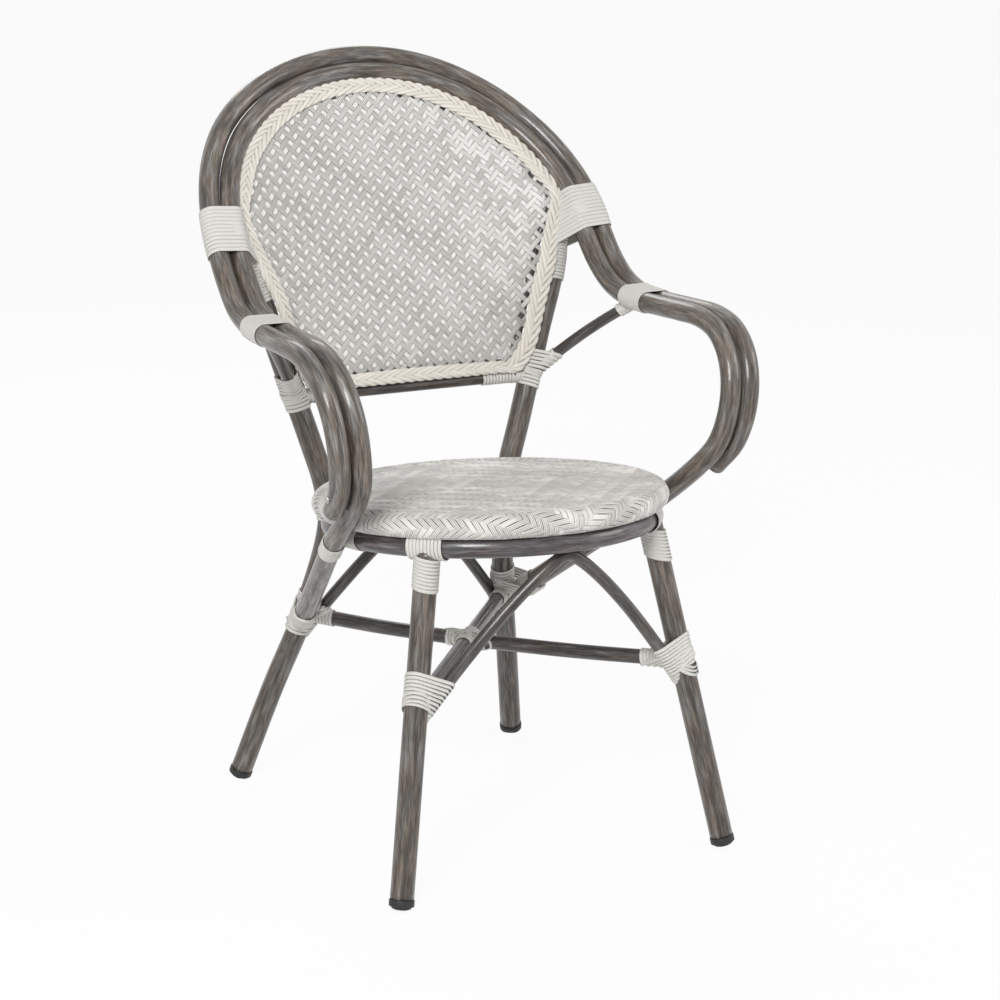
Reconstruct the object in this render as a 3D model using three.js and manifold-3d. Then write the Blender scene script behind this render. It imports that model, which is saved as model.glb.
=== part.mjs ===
// A bistro armchair of painted metal tube with strand bindings, a woven back and a round woven seat.
// Millimetres, +Z up, the front faces -Y. While it is built, X = Y = 0 is the seat's centre on the floor.

import * as THREE from 'three';
import { mergeVertices } from 'three/addons/utils/BufferGeometryUtils.js';
import Module from 'manifold-3d';

const wasm = await Module();
wasm.setup();

// Tube diameters
const hoopTube = 25;
const legTube = 28;
const ringTube = 25;
const barTube = 18;
const archTube = 15;
const braceTube = 14;
const railTube = 15;

// Gaps between pieces that touch, and the strand that binds them
const clearance = 0.3;
const hoopGap = 0.8;
const rimGap = 1.2;
const strandWidth = 3.6;
const strandThickness = 1.5;
const strandPitch = 5;
const strandSeat = 0.4;
const bendAllowance = 1;
const sleeveWall = 2.8;

// Seat and its ring
const ringRadius = 192;
const ringHeight = 391.7;
const seatTilt = THREE.MathUtils.degToRad(4.7);
const rimRadius = 199.6;
const rimTube = 28;
const deckThickness = 7;
const deckCrown = 4;
const deckDrop = 3;

// Hoops: the mid-line between the two tubes
const armSpread = 257;
const armHeight = 627;
const backHeight = 904;
const backReach = 359.5;
const armReach = 138.5;
const hoopLean = THREE.MathUtils.degToRad(41.3);

// Where the feet stand, from the seat's centre
const frontFootSpread = 220.5;
const frontFootReach = 195.5;
const rearFootSpread = 203;
const rearFootReach = 297.5;
const frontLegAngle = THREE.MathUtils.degToRad(-39);
const uprightAngle = THREE.MathUtils.degToRad(55);

// Heights of what joins the legs and the uprights
const railHeight = 517;
const braceHeight = 514;
const barFrontHeight = 229.6;
const barRearHeight = 232.5;
const barSag = 8;
const throughBarFrontHeight = 223.7;
const throughBarRearHeight = 222.6;
const frontArchHeight = 194;
const rearArchHeight = 190;
const frontArchSetback = 8;
const rearArchSetback = -4;
const braceArchRise = 10;

// Foot caps, end plugs and rivets
const capWall = 0.8;
const capHeight = 12;
const glideHeight = 4;
const glideDip = 1.2;
const plugDome = 5;
const plugInset = 0.8;
const rivetRadius = 4.5;
const rivetDome = 2.5;

// Back panel and its plaited border
const panelThickness = 3.5;
const panelLean = THREE.MathUtils.degToRad(19.3);
const panelBulgeShare = 1.4;
const braidWidth = 28;
const braidThickness = 4.5;
const braidLift = 1.2;
const panelEdgeGap = 1.1;
const windingSlantCover = 3;

// Bindings: lengths along the tube, and how far above or below its joint each starts
const uprightSleeveDrop = 14.3;
const uprightSleeveLength = 32;
const cornerBindingRise = 28;
const cornerBindingDrop = 15;
const railBindingLength = 45;
const braceBindingLength = 24;
const frontTopBindingDrop = 7.7;
const frontTopBindingLength = 36;
const ringWrapLength = 36;
const frontLowBindingRise = 32.4;
const frontLowBindingLength = 46;
const rearLowBindingRise = 29.5;
const rearLowBindingLength = 53;
const barBindingLength = 28;
const archBindingLength = 26;
const hoopEndBindingLength = 34;
const hoopEndInset = 3;
const armRingBindingLength = 34;
const centreBindingLength = 27;
const uprightRingBindingLength = 34;
const uprightRingBindingWall = 5;

// Faces on a round tube, and steps along each route
const tubeSides = 10;
const thinSides = 8;
const sleeveSides = 6;
const turnedSides = 12;
const roundSides = 32;
const hoopRouteSteps = 24;
const outerHoopSteps = 52;
const innerHoopSteps = 68;
const rearLegSteps = 22;
const archSteps = 18;
const barSteps = 4;
const braceSteps = 6;
const tautSteps = 16;
const borderStations = 44;
const panelRings = 4;
const backTurnSteps = 12;
const legTurnSteps = 8;

// Mid-line of the hoops from the top of the back to the arm's end: across as a share of armSpread,
// back as a share of backReach (in front of the seat's centre, of armReach), height in storeys.
const hoopShares = [
  [0, 1, 3],
  [0.179, 0.992, 2.989],
  [0.358, 0.972, 2.953],
  [0.521, 0.944, 2.895],
  [0.669, 0.897, 2.816],
  [0.794, 0.836, 2.718],
  [0.887, 0.758, 2.61],
  [0.949, 0.677, 2.491],
  [0.981, 0.597, 2.365],
  [0.988, 0.522, 2.231],
  [0.992, 0.438, 2.116],
  [1, 0.332, 2.029],
  [1.004, 0.207, 2.004],
  [1.016, 0.085, 2],
  [1.031, -0.097, 2],
  [1.043, -0.422, 1.992],
  [1.043, -0.726, 1.928],
  [1.027, -0.942, 1.775],
  [1.004, -1, 1.579],
  [0.977, -0.921, 1.397],
  [0.953, -0.74, 1.273],
];

// Lower rear leg from foot to waist, and upright from waist to top: how far from the second to the
// first across, back and up.
const rearLegShares = [[0.585, 0.648, 0.309], [0.156, 0.278, 0.606], [-0.079, 0.007, 0.886]];
const uprightShares = [[0.179, 0.06, 0.181], [0.501, 0.248, 0.488], [0.785, 0.4, 0.768]];

// Places along the hoops' mid-line, as shares of its half length
const backBindingShares = [0.37, 0.441];
const armBindingShares = [0.555, 0.622];
const braceEndShare = 0.577;
const uprightTopShare = 0.366;
const armTurnShares = [0.4, 0.5];
const rivetShare = 0.975;
const borderTurnShare = 0.35;
const borderTurnRiseShare = 0.369;
const borderCoverShare = 0.28;
const hoopStationShares = [0, 0.05, 0.1, 0.15, 0.2, 0.25, 0.3, 0.35];
const uprightStationShares = [0, 0.25, 0.5, 0.75, 1];
const railStationShares = [0.72, 0.36, 0];
const hoopPassAngle = THREE.MathUtils.degToRad(-6);
const hoopPassShare = 1.15;
const archBendShare = 1.28;
const rearArchBendShare = 1.26;
const archStationShares = [0, 0.1, 0.25, 0.45, 0.65, 0.85, 1];
const braidWrapAngle = THREE.MathUtils.degToRad(42);
const frontArchSeatAngle = THREE.MathUtils.degToRad(30.5);
const rearArchSeatAngle = THREE.MathUtils.degToRad(5);

const SIDES = { left: -1, right: 1 };
const across = new THREE.Vector3(1, 0, 0);
const up = new THREE.Vector3(0, 0, 1);
const planeFront = new THREE.Vector3(0, -Math.cos(hoopLean), Math.sin(hoopLean));

const chair = new THREE.Group();

// Finishes
function paint(color, roughness, metalness) {
  return () => new THREE.MeshStandardMaterial({ color, roughness, metalness });
}

const tubePaint = paint(0x6b625c, 0.42, 0.35);
const strand = paint(0xe4e1d8, 0.6, 0);
const weave = paint(0xd9d7d1, 0.65, 0);
const blackPlastic = paint(0x17171a, 0.5, 0);
const rivetMetal = paint(0xb9b6b0, 0.3, 0.9);

function addPiece(name, geometry, finish) {
  const mesh = new THREE.Mesh(geometry, finish());
  mesh.name = name;
  chair.add(mesh);
  return mesh;
}

// Solids: a closed geometry becomes a manifold to be joined or cut, and back
function solidOf(geometry) {
  const bare = geometry.clone();
  bare.deleteAttribute('normal');
  bare.deleteAttribute('uv');
  const merged = mergeVertices(bare.index ? bare.toNonIndexed() : bare);
  return new wasm.Manifold(new wasm.Mesh({
    numProp: 3,
    vertProperties: new Float32Array(merged.attributes.position.array),
    triVerts: new Uint32Array(merged.index.array),
  }));
}

function geometryOf(solid) {
  const mesh = solid.getMesh();
  const geometry = new THREE.BufferGeometry();
  geometry.setAttribute('position', new THREE.BufferAttribute(mesh.vertProperties, 3));
  geometry.setIndex(new THREE.BufferAttribute(mesh.triVerts, 1));
  geometry.computeVertexNormals();
  return geometry;
}

function cut(geometry, cutters) {
  let solid = solidOf(geometry);
  for (const cutter of cutters) {
    solid = solid.subtract(solidOf(cutter));
  }
  return geometryOf(largestOf(solid));
}

// A tube that is cut where it enters a thicker one leaves a stub beyond it, which isn't kept
function largestOf(solid) {
  const bodies = solid.decompose();
  return bodies.reduce((largest, body) => (body.volume() > largest.volume() ? body : largest));
}

function join(geometries) {
  let solid = solidOf(geometries[0]);
  for (const other of geometries.slice(1)) {
    solid = solid.add(solidOf(other));
  }
  return geometryOf(solid);
}

// Round tubes
function circleShape(diameter, sides) {
  const shape = new THREE.Shape();
  for (let k = 0; k < sides; k += 1) {
    const turn = 2 * Math.PI * k / sides;
    const x = diameter / 2 * Math.cos(turn);
    const y = diameter / 2 * Math.sin(turn);
    if (k === 0) {
      shape.moveTo(x, y);
    } else {
      shape.lineTo(x, y);
    }
  }
  return shape;
}

function tube(route, diameter, steps, sides) {
  return new THREE.ExtrudeGeometry(circleShape(diameter, sides), {
    steps,
    bevelEnabled: false,
    extrudePath: route,
  });
}

function routeThrough(points) {
  const route = new THREE.CatmullRomCurve3(points, false, 'centripetal');
  route.arcLengthDivisions = 20 * points.length;
  return route;
}

function stretch(route, from, to) {
  const start = route.getPointAt(Math.max(0, from));
  const end = route.getPointAt(Math.min(1, to));
  const middle = route.getPointAt((Math.max(0, from) + Math.min(1, to)) / 2);
  return routeThrough([start, middle, end]);
}

// A tube that also knows its route and can give the cutter that keeps clear of it
function rod(route, diameter, steps, sides) {
  return {
    route,
    diameter,
    sleeveSteps: steps > innerHoopSteps / 2 ? 2 : 1,
    length: route.getLength(),
    body: () => tube(route, diameter, steps, sides),
    cutter: () => tube(route, diameter + 2 * clearance, steps, sides),
  };
}

function shareAtHeight(route, height) {
  let low = 0;
  let high = 1;
  const rising = route.getPointAt(1).z > route.getPointAt(0).z;
  for (let k = 0; k < 40; k += 1) {
    const middle = (low + high) / 2;
    const below = route.getPointAt(middle).z < height;
    if (below === rising) {
      low = middle;
    } else {
      high = middle;
    }
  }
  return (low + high) / 2;
}

function pointAtHeight(route, height) {
  return route.getPointAt(shareAtHeight(route, height));
}

// Points mirrored to both sides of the chair
function sided(point, side) {
  return new THREE.Vector3(point.x * side, point.y, point.z);
}

function mirrored(rightPoints) {
  const left = rightPoints.slice(1).reverse().map(point => sided(point, SIDES.left));
  return [...left, ...rightPoints];
}

// Heights in storeys: 0 the floor, 1 the seat ring, 2 the arms, 3 the top of the back
function storey(level) {
  if (level < 1) {
    return level * ringHeight;
  }
  if (level < 2) {
    return ringHeight + (level - 1) * (armHeight - ringHeight);
  }
  return armHeight + (level - 2) * (backHeight - armHeight);
}

// Ends of the bindings round the lower joints
const frontTopBindingTop = ringHeight - frontTopBindingDrop;
const frontLowBindingTop = barFrontHeight + frontLowBindingRise;
const frontLowBindingBottom = frontLowBindingTop - frontLowBindingLength;
const rearLowBindingTop = barRearHeight + rearLowBindingRise;
const rearLowBindingBottom = rearLowBindingTop - rearLowBindingLength;
const panelFront = new THREE.Vector3(0, -Math.cos(panelLean), Math.sin(panelLean));

// Seat ring frame: a point at an angle round the tilted ring, this far out and up from it
function onRing(angle, radius, rise) {
  const point = new THREE.Vector3(radius * Math.cos(angle), radius * Math.sin(angle), rise);
  point.applyAxisAngle(across, -seatTilt);
  point.z += ringHeight;
  return point;
}

const rimSpacing = (ringTube + rimTube) / 2 + clearance;
const rimRise = Math.sqrt(rimSpacing ** 2 - (rimRadius - ringRadius) ** 2);

function addSeat() {
  const ring = new THREE.TorusGeometry(ringRadius, ringTube / 2, tubeSides, roundSides);
  const rim = new THREE.TorusGeometry(rimRadius, rimTube / 2, tubeSides, roundSides);
  rim.translate(0, 0, rimRise);
  const pieces = [
    addPiece('seat_ring', ring, tubePaint),
    addPiece('seat_rim', rim, weave),
    addPiece('seat_panel', deckGeometry(), weave),
  ];
  for (const piece of pieces) {
    piece.rotation.x = -seatTilt;
    piece.position.z = ringHeight;
  }
}

// Woven deck: crowned on top and flat below, with a slanting edge that lies against the rolled rim
function deckGeometry() {
  const reach = rimTube / 2 + clearance;
  const edgeMiddle = rimTube / 2 - deckDrop - deckThickness / 2;
  const slope = Math.asin(edgeMiddle / reach);
  const edgeRadius = rimRadius - reach * Math.cos(slope);
  const flare = deckThickness / 2 * Math.tan(slope);
  const deckTop = rimRise + edgeMiddle + deckThickness / 2;
  return turned([
    [0, deckTop - deckThickness],
    [edgeRadius - flare, deckTop - deckThickness],
    [edgeRadius + flare, deckTop],
    [rimRadius / 2, deckTop + deckCrown * 3 / 4],
    [0, deckTop + deckCrown],
  ], roundSides);
}

// Hoops: one mid-line, with a tube half a pitch to each side of it
function hoopMidPoint([x, y, level]) {
  const reach = y < 0 ? armReach : backReach;
  return new THREE.Vector3(x * armSpread, y * reach, storey(level));
}

const hoopPitch = hoopTube + hoopGap;
const hoopMid = routeThrough(mirrored(hoopShares.map(hoopMidPoint)));

function midAt(side, share) {
  return hoopMid.getPointAt(0.5 + side * share / 2);
}

function midTangent(side, share) {
  return hoopMid.getTangentAt(0.5 + side * share / 2).multiplyScalar(side);
}

// Away from the opening: in the leaning plane of the back, then straight out to the side
function outwardAt(side, share) {
  const tangent = midTangent(side, share);
  const inPlane = new THREE.Vector3().crossVectors(planeFront, tangent).multiplyScalar(side);
  const sideways = across.clone().multiplyScalar(side).projectOnPlane(tangent);
  const blend = THREE.MathUtils.smoothstep(share, ...armTurnShares);
  return inPlane.normalize().lerp(sideways.normalize(), blend).normalize();
}

function hoopPoint(side, share, offset) {
  return midAt(side, share).addScaledVector(outwardAt(side, share), offset);
}

function innerPoint(side, share) {
  return hoopPoint(side, share, -hoopPitch / 2);
}

function hoopPoints(offset) {
  const points = [];
  for (let k = 0; k <= hoopRouteSteps; k += 1) {
    points.push(hoopPoint(SIDES.right, k / hoopRouteSteps, offset));
  }
  return points;
}

// Rear leg and upright: one tube from the foot past the seat's rim to behind the hoops
const uprightTop = innerPoint(SIDES.right, uprightTopShare)
  .addScaledVector(planeFront, -(hoopTube + legTube) / 2 - clearance);
const waist = onRing(uprightAngle, rimRadius + (rimTube + legTube) / 2 + clearance, rimRise);
const rearFoot = new THREE.Vector3(rearFootSpread, rearFootReach, 0);

function between(from, to, [x, y, z]) {
  return new THREE.Vector3(
    THREE.MathUtils.lerp(from.x, to.x, x),
    THREE.MathUtils.lerp(from.y, to.y, y),
    THREE.MathUtils.lerp(from.z, to.z, z),
  );
}

const rearLegPoints = [
  rearFoot,
  ...rearLegShares.map(([x, y, z]) => between(waist, rearFoot, [x, y, 1 - z])),
  waist,
  ...uprightShares.map(shares => between(waist, uprightTop, shares)),
  uprightTop,
];
const rearLegAxis = routeThrough(rearLegPoints);

// The back binding's last turn crosses the upright here. The upright's own winding starts below it,
// and the back's border leaves the hoop for the upright a little above.
const backBindingEnds = backBindingShares.map(share => midAt(SIDES.right, share));
const backTurnNormal = backBindingEnds[1].clone().sub(backBindingEnds[0]).normalize();
const lastTurnHeight = crossingOf(rearLegAxis, backBindingEnds[1], backTurnNormal).hit.z;
const uprightSleeveTop = lastTurnHeight - uprightSleeveDrop;
const borderTurnHeight = THREE.MathUtils.lerp(lastTurnHeight, uprightTop.z, borderTurnRiseShare);

// Front leg: straight from its foot to the underside of the seat ring
const frontFoot = new THREE.Vector3(frontFootSpread, -frontFootReach, 0);
const frontLegHead = onRing(frontLegAngle, ringRadius, 0);
const frontLegAxis = new THREE.LineCurve3(frontFoot, frontLegHead);

// Inner hoop: leaves the outer one, passes the ring and ends against the rear leg
const hoopPassRadius = ringRadius + hoopPassShare * ((ringTube + hoopTube) / 2 + clearance);
const hoopPass = onRing(hoopPassAngle, hoopPassRadius, 0);
const hoopLandingHeight = (rearLowBindingTop + rearLowBindingBottom) / 2;
const landing = pointAtHeight(rearLegAxis, hoopLandingHeight);
const landingSide = hoopPass.clone().sub(landing).projectOnPlane(
  rearLegAxis.getTangentAt(shareAtHeight(rearLegAxis, hoopLandingHeight))).normalize();
const hoopEnd = landing.clone().addScaledVector(landingSide, (legTube + hoopTube) / 2 + clearance);
const innerPoints = [
  ...hoopPoints(-hoopPitch / 2),
  hoopPass,
  hoopPass.clone().lerp(hoopEnd, 0.5),
  hoopEnd,
];

function sidedRoute(points, side) {
  return routeThrough(points.map(point => sided(point, side)));
}

const rods = {
  outer: rod(routeThrough(mirrored(hoopPoints(hoopPitch / 2))), hoopTube, outerHoopSteps, tubeSides),
  inner: rod(routeThrough(mirrored(innerPoints)), hoopTube, innerHoopSteps, tubeSides),
};

// Legs start above their foot caps
function legRoute(points, side) {
  const whole = sidedRoute(points, side);
  const start = (capHeight + clearance) / whole.getLength();
  const kept = [];
  const count = 3 * points.length;
  for (let k = 0; k <= count; k += 1) {
    kept.push(whole.getPointAt(start + (1 - start) * k / count));
  }
  return routeThrough(kept);
}

for (const [name, side] of Object.entries(SIDES)) {
  rods[`rear_${name}`] = rod(legRoute(rearLegPoints, side), legTube, rearLegSteps, tubeSides);
  rods[`front_${name}`] = rod(legRoute([frontFoot, frontLegHead], side), legTube, 1, tubeSides);
}

function ringCutter() {
  const ring = new THREE.TorusGeometry(ringRadius, ringTube / 2 + clearance, tubeSides, roundSides);
  ring.rotateX(-seatTilt);
  ring.translate(0, 0, ringHeight);
  return ring;
}

function rimCutter() {
  const rim = new THREE.TorusGeometry(rimRadius, rimTube / 2 + rimGap, tubeSides, roundSides);
  rim.translate(0, 0, rimRise);
  rim.rotateX(-seatTilt);
  rim.translate(0, 0, ringHeight);
  return rim;
}

// Arches: from leg to leg, rising to the underside of the seat ring
function archRoute(leg, height, setback, ringAngle, seatAngle, bendShare) {
  const seatDistance = (ringTube + archTube) / 2 + clearance;
  const inward = -Math.sign(Math.sin(ringAngle));
  const top = onRing(ringAngle, ringRadius, 0);
  top.y += inward * seatDistance * Math.sin(seatAngle);
  top.z -= seatDistance * Math.cos(seatAngle);
  top.x = 0;
  const foot = pointAtHeight(leg, height);
  foot.y += setback;
  const half = archStationShares.map(share => {
    const fall = share ** bendShare;
    const point = top.clone().lerp(foot, fall);
    point.x = foot.x * share;
    return point;
  });
  return routeThrough(mirrored(half));
}

rods.frontArch = rod(
  archRoute(frontLegAxis, frontArchHeight, frontArchSetback, -Math.PI / 2, frontArchSeatAngle, archBendShare),
  archTube, archSteps, thinSides);
rods.rearArch = rod(
  archRoute(rearLegAxis, rearArchHeight, rearArchSetback, Math.PI / 2, -rearArchSeatAngle, rearArchBendShare),
  archTube, archSteps, thinSides);

// Cross bars: one runs through, the other comes in two halves that butt against it
const throughFront = sided(pointAtHeight(frontLegAxis, throughBarFrontHeight), SIDES.left);
const throughRear = pointAtHeight(rearLegAxis, throughBarRearHeight);
const halfFront = pointAtHeight(frontLegAxis, barFrontHeight);
const halfRear = sided(pointAtHeight(rearLegAxis, barRearHeight), SIDES.left);
const crossing = throughFront.clone().lerp(throughRear, throughFront.x / (throughFront.x - throughRear.x));

function sagged(from, to) {
  const middle = from.clone().lerp(to, 0.5);
  middle.z -= barSag / 4;
  return routeThrough([from, middle, to]);
}

rods.through = rod(new THREE.LineCurve3(throughFront, throughRear), barTube, 1, thinSides);
rods.halfFront = rod(sagged(halfFront, crossing), barTube, barSteps, thinSides);
rods.halfRear = rod(sagged(halfRear, crossing), barTube, barSteps, thinSides);

// Back rail between the uprights, and the side braces from upright to arm
const railEnd = pointAtHeight(rearLegAxis, railHeight);
rods.rail = rod(new THREE.LineCurve3(sided(railEnd, SIDES.left), railEnd), railTube, 1, thinSides);

function braceRoute(side) {
  const start = sided(pointAtHeight(rearLegAxis, braceHeight), side);
  const end = innerPoint(side, braceEndShare);
  end.z -= (hoopTube + braceTube) / 2 + clearance;
  const bend = start.clone().lerp(end, 0.5);
  bend.z += braceArchRise;
  return new THREE.QuadraticBezierCurve3(start, bend, end);
}

for (const [name, side] of Object.entries(SIDES)) {
  rods[`brace_${name}`] = rod(braceRoute(side), braceTube, braceSteps, thinSides);
}

function addFrame() {
  addPiece('outer_hoop', rods.outer.body(), tubePaint);
  addPiece('inner_hoop', rods.inner.body(), tubePaint);
  for (const name of Object.keys(SIDES)) {
    addPiece(`rear_leg_${name}`, rods[`rear_${name}`].body(), tubePaint);
    addPiece(`front_leg_${name}`, cut(rods[`front_${name}`].body(), [ringCutter()]), tubePaint);
    const brace = rods[`brace_${name}`];
    addPiece(`side_brace_${name}`, cut(brace.body(), [rods[`rear_${name}`].cutter()]), tubePaint);
  }
  const fronts = [rods.front_left.cutter(), rods.front_right.cutter()];
  const rears = [rods.rear_left.cutter(), rods.rear_right.cutter()];
  addPiece('back_rail', cut(rods.rail.body(), rears), tubePaint);
  const bars = [rods.through.cutter(), rods.halfFront.cutter(), rods.halfRear.cutter()];
  addPiece('front_arch', cut(rods.frontArch.body(), [...fronts, ...bars]), tubePaint);
  addPiece('rear_arch', cut(rods.rearArch.body(), [...rears, ...bars, rods.inner.cutter()]), tubePaint);
  const innerHoop = rods.inner.cutter();
  addPiece('cross_bar_through', cut(rods.through.body(), [fronts[0], rears[1], innerHoop]), tubePaint);
  addPiece('cross_bar_front_half', cut(rods.halfFront.body(), [fronts[1], bars[0]]), tubePaint);
  addPiece('cross_bar_rear_half', cut(rods.halfRear.body(), [rears[0], bars[0], innerHoop]), tubePaint);
}

// Turned pieces stand along an axis from a point
function along(geometry, point, direction) {
  const turn = new THREE.Quaternion().setFromUnitVectors(up, direction.clone().normalize());
  geometry.applyQuaternion(turn);
  geometry.translate(point.x, point.y, point.z);
  return geometry;
}

function turned(profile, sides) {
  const points = profile.map(([radius, height]) => new THREE.Vector2(radius, height));
  const lathe = new THREE.LatheGeometry(points, sides);
  lathe.rotateX(Math.PI / 2);
  return lathe;
}

function footCapGeometry() {
  const radius = legTube / 2 + capWall;
  return turned([
    [0, -glideDip],
    [radius / 2, -glideDip / 2],
    [radius * 7 / 8, glideHeight / 3],
    [radius, glideHeight],
    [radius, capHeight],
    [0, capHeight],
  ], turnedSides);
}

// Everything below the floor is cut off, so that each cap stands on a flat
function belowFloor() {
  const block = new THREE.BoxGeometry(legTube * 3, legTube * 3, legTube);
  block.translate(0, 0, -legTube / 2);
  return block;
}

function addFootCaps() {
  for (const [name, side] of Object.entries(SIDES)) {
    for (const [row, axis] of Object.entries({ front: frontLegAxis, rear: rearLegAxis })) {
      const foot = sided(axis.getPointAt(0), side);
      const rise = sided(axis.getTangentAt(0), side);
      const cap = along(footCapGeometry(), foot, rise);
      const floor = belowFloor().translate(foot.x, foot.y, 0);
      addPiece(`foot_cap_${row}_${name}`, cut(cap, [floor]), blackPlastic);
    }
  }
}

function addHoopEnds() {
  for (const [name, side] of Object.entries(SIDES)) {
    const share = side > 0 ? 1 : 0;
    const end = rods.outer.route.getPointAt(share);
    const away = rods.outer.route.getTangentAt(share).multiplyScalar(side);
    const radius = hoopTube / 2 - plugInset;
    const plug = turned([
      [0, clearance],
      [radius, clearance],
      [radius, plugDome / 3],
      [radius * 3 / 4, plugDome * 4 / 5],
      [0, plugDome],
    ], turnedSides);
    addPiece(`hoop_plug_${name}`, along(plug, end, away), tubePaint);
    const outward = outwardAt(side, rivetShare);
    const seat = hoopPoint(side, rivetShare, hoopPitch / 2 + hoopTube / 2 + clearance);
    const rivet = turned([
      [0, 0],
      [rivetRadius, 0],
      [rivetRadius * 3 / 4, rivetDome * 3 / 4],
      [0, rivetDome],
    ], tubeSides);
    addPiece(`hoop_rivet_${name}`, along(rivet, seat, outward), rivetMetal);
  }
}

// Back panel border: where the weave meets the tubes on its inner side, and the line on the tubes'
// front that the plait starts from. Both go once round, from the top down the right side.
function borderStation(axis, front, inward, radius, cover) {
  const edge = axis.clone().addScaledVector(inward, radius + cover + panelEdgeGap);
  const reach = radius + cover + panelEdgeGap;
  const over = axis.clone()
    .addScaledVector(front, reach * Math.cos(braidWrapAngle))
    .addScaledVector(inward, reach * Math.sin(braidWrapAngle));
  return { edge, over };
}

// How far the windings on the hoops and on the uprights stand out from their tubes
function windingCover(diameter, turnSteps) {
  const radius = diameter / 2 + strandSeat + bendAllowance;
  return radius / Math.cos(Math.PI / turnSteps) + strandThickness - diameter / 2;
}

function hoopStations() {
  return hoopStationShares.map(share => {
    const nearTurn = THREE.MathUtils.smoothstep(share, borderCoverShare, borderTurnShare);
    const cover = (windingCover(hoopTube, backTurnSteps) + hoopGap) * nearTurn;
    const inward = outwardAt(SIDES.right, share).negate();
    return borderStation(innerPoint(SIDES.right, share), planeFront, inward, hoopTube / 2, cover);
  });
}

function uprightStations() {
  const lowest = railHeight + railTube + legTube / 2;
  return uprightStationShares.map(part => {
    const share = shareAtHeight(rearLegAxis, THREE.MathUtils.lerp(borderTurnHeight, lowest, part));
    const tangent = rearLegAxis.getTangentAt(share);
    const front = new THREE.Vector3(0, -1, 0).projectOnPlane(tangent).normalize();
    const inward = new THREE.Vector3(-1, 0, 0).projectOnPlane(tangent).normalize();
    const cover = windingCover(legTube, legTurnSteps) + windingSlantCover * (1 - part);
    return borderStation(rearLegAxis.getPointAt(share), front, inward, legTube / 2, cover);
  });
}

function railStations() {
  const front = new THREE.Vector3(0, -1, 0);
  return railStationShares.map(share => {
    const axis = new THREE.Vector3(railEnd.x * share, railEnd.y, railEnd.z);
    return borderStation(axis, front, up, railTube / 2, clearance + sleeveWall);
  });
}

function closedBorder(key) {
  const stations = [...hoopStations(), ...uprightStations(), ...railStations()];
  const right = stations.map(station => station[key]);
  const left = right.slice(1, -1).reverse().map(point => sided(point, SIDES.left));
  const border = new THREE.CatmullRomCurve3([...right, ...left], true, 'centripetal');
  border.arcLengthDivisions = 400;
  return border;
}

// The woven surface: a disc of points drawn in from the border. The middle line falls away to the
// back as it rises, and each row curves forward to the border.
const borderCurve = closedBorder('edge');
const overCurve = closedBorder('over');
const panelTop = borderCurve.getPointAt(0);
const panelBottom = borderCurve.getPointAt(0.5);
const panelCentre = (panelTop.z + panelBottom.z) / 2;

function middleDepth(height) {
  const rise = THREE.MathUtils.clamp((height - panelBottom.z) / (panelTop.z - panelBottom.z), 0, 1);
  return panelBottom.y + (panelTop.y - panelBottom.y) * rise ** panelBulgeShare;
}

function panelPoint(edge, share) {
  const x = edge.x * share;
  const z = panelCentre + (edge.z - panelCentre) * share;
  const y = middleDepth(z) + (edge.y - middleDepth(edge.z)) * share ** 2;
  return new THREE.Vector3(x, y, z);
}

function ringOfPoints(count, place) {
  const points = [];
  for (let k = 0; k < count; k += 1) {
    points.push(place(k / count));
  }
  return points;
}

// A closed skin over rings of equal count. Rings run from the first to the last, and each end is
// closed to its middle, or the last joins the first.
function skinOver(rings, looped) {
  const count = rings[0].length;
  const positions = [];
  const faces = [];
  for (const ring of rings) {
    for (const point of ring) {
      positions.push(point.x, point.y, point.z);
    }
  }
  const lastRing = looped ? rings.length : rings.length - 1;
  for (let r = 0; r < lastRing; r += 1) {
    const here = r * count;
    const next = ((r + 1) % rings.length) * count;
    for (let k = 0; k < count; k += 1) {
      const step = (k + 1) % count;
      faces.push(here + k, here + step, next + step);
      faces.push(here + k, next + step, next + k);
    }
  }
  if (!looped) {
    closeEnd(rings[0], 0, positions, faces, false);
    closeEnd(rings[rings.length - 1], (rings.length - 1) * count, positions, faces, true);
  }
  const geometry = new THREE.BufferGeometry();
  geometry.setAttribute('position', new THREE.BufferAttribute(new Float32Array(positions), 3));
  geometry.setIndex(faces);
  geometry.computeVertexNormals();
  return geometry;
}

function closeEnd(ring, first, positions, faces, forward) {
  const middle = new THREE.Vector3();
  for (const point of ring) {
    middle.addScaledVector(point, 1 / ring.length);
  }
  const hub = positions.length / 3;
  positions.push(middle.x, middle.y, middle.z);
  for (let k = 0; k < ring.length; k += 1) {
    const step = (k + 1) % ring.length;
    if (forward) {
      faces.push(first + k, first + step, hub);
    } else {
      faces.push(first + step, first + k, hub);
    }
  }
}

function backPanelGeometry() {
  const faceTo = distance => {
    const rings = [];
    for (let r = 1; r <= panelRings; r += 1) {
      rings.push(ringOfPoints(borderStations, share => {
        const point = panelPoint(borderCurve.getPointAt(share), r / panelRings);
        return point.addScaledVector(panelFront, distance);
      }));
    }
    return rings;
  };
  const front = faceTo(panelThickness / 2);
  const back = faceTo(-panelThickness / 2);
  return skinOver([...front, ...back.reverse()], false);
}

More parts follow.
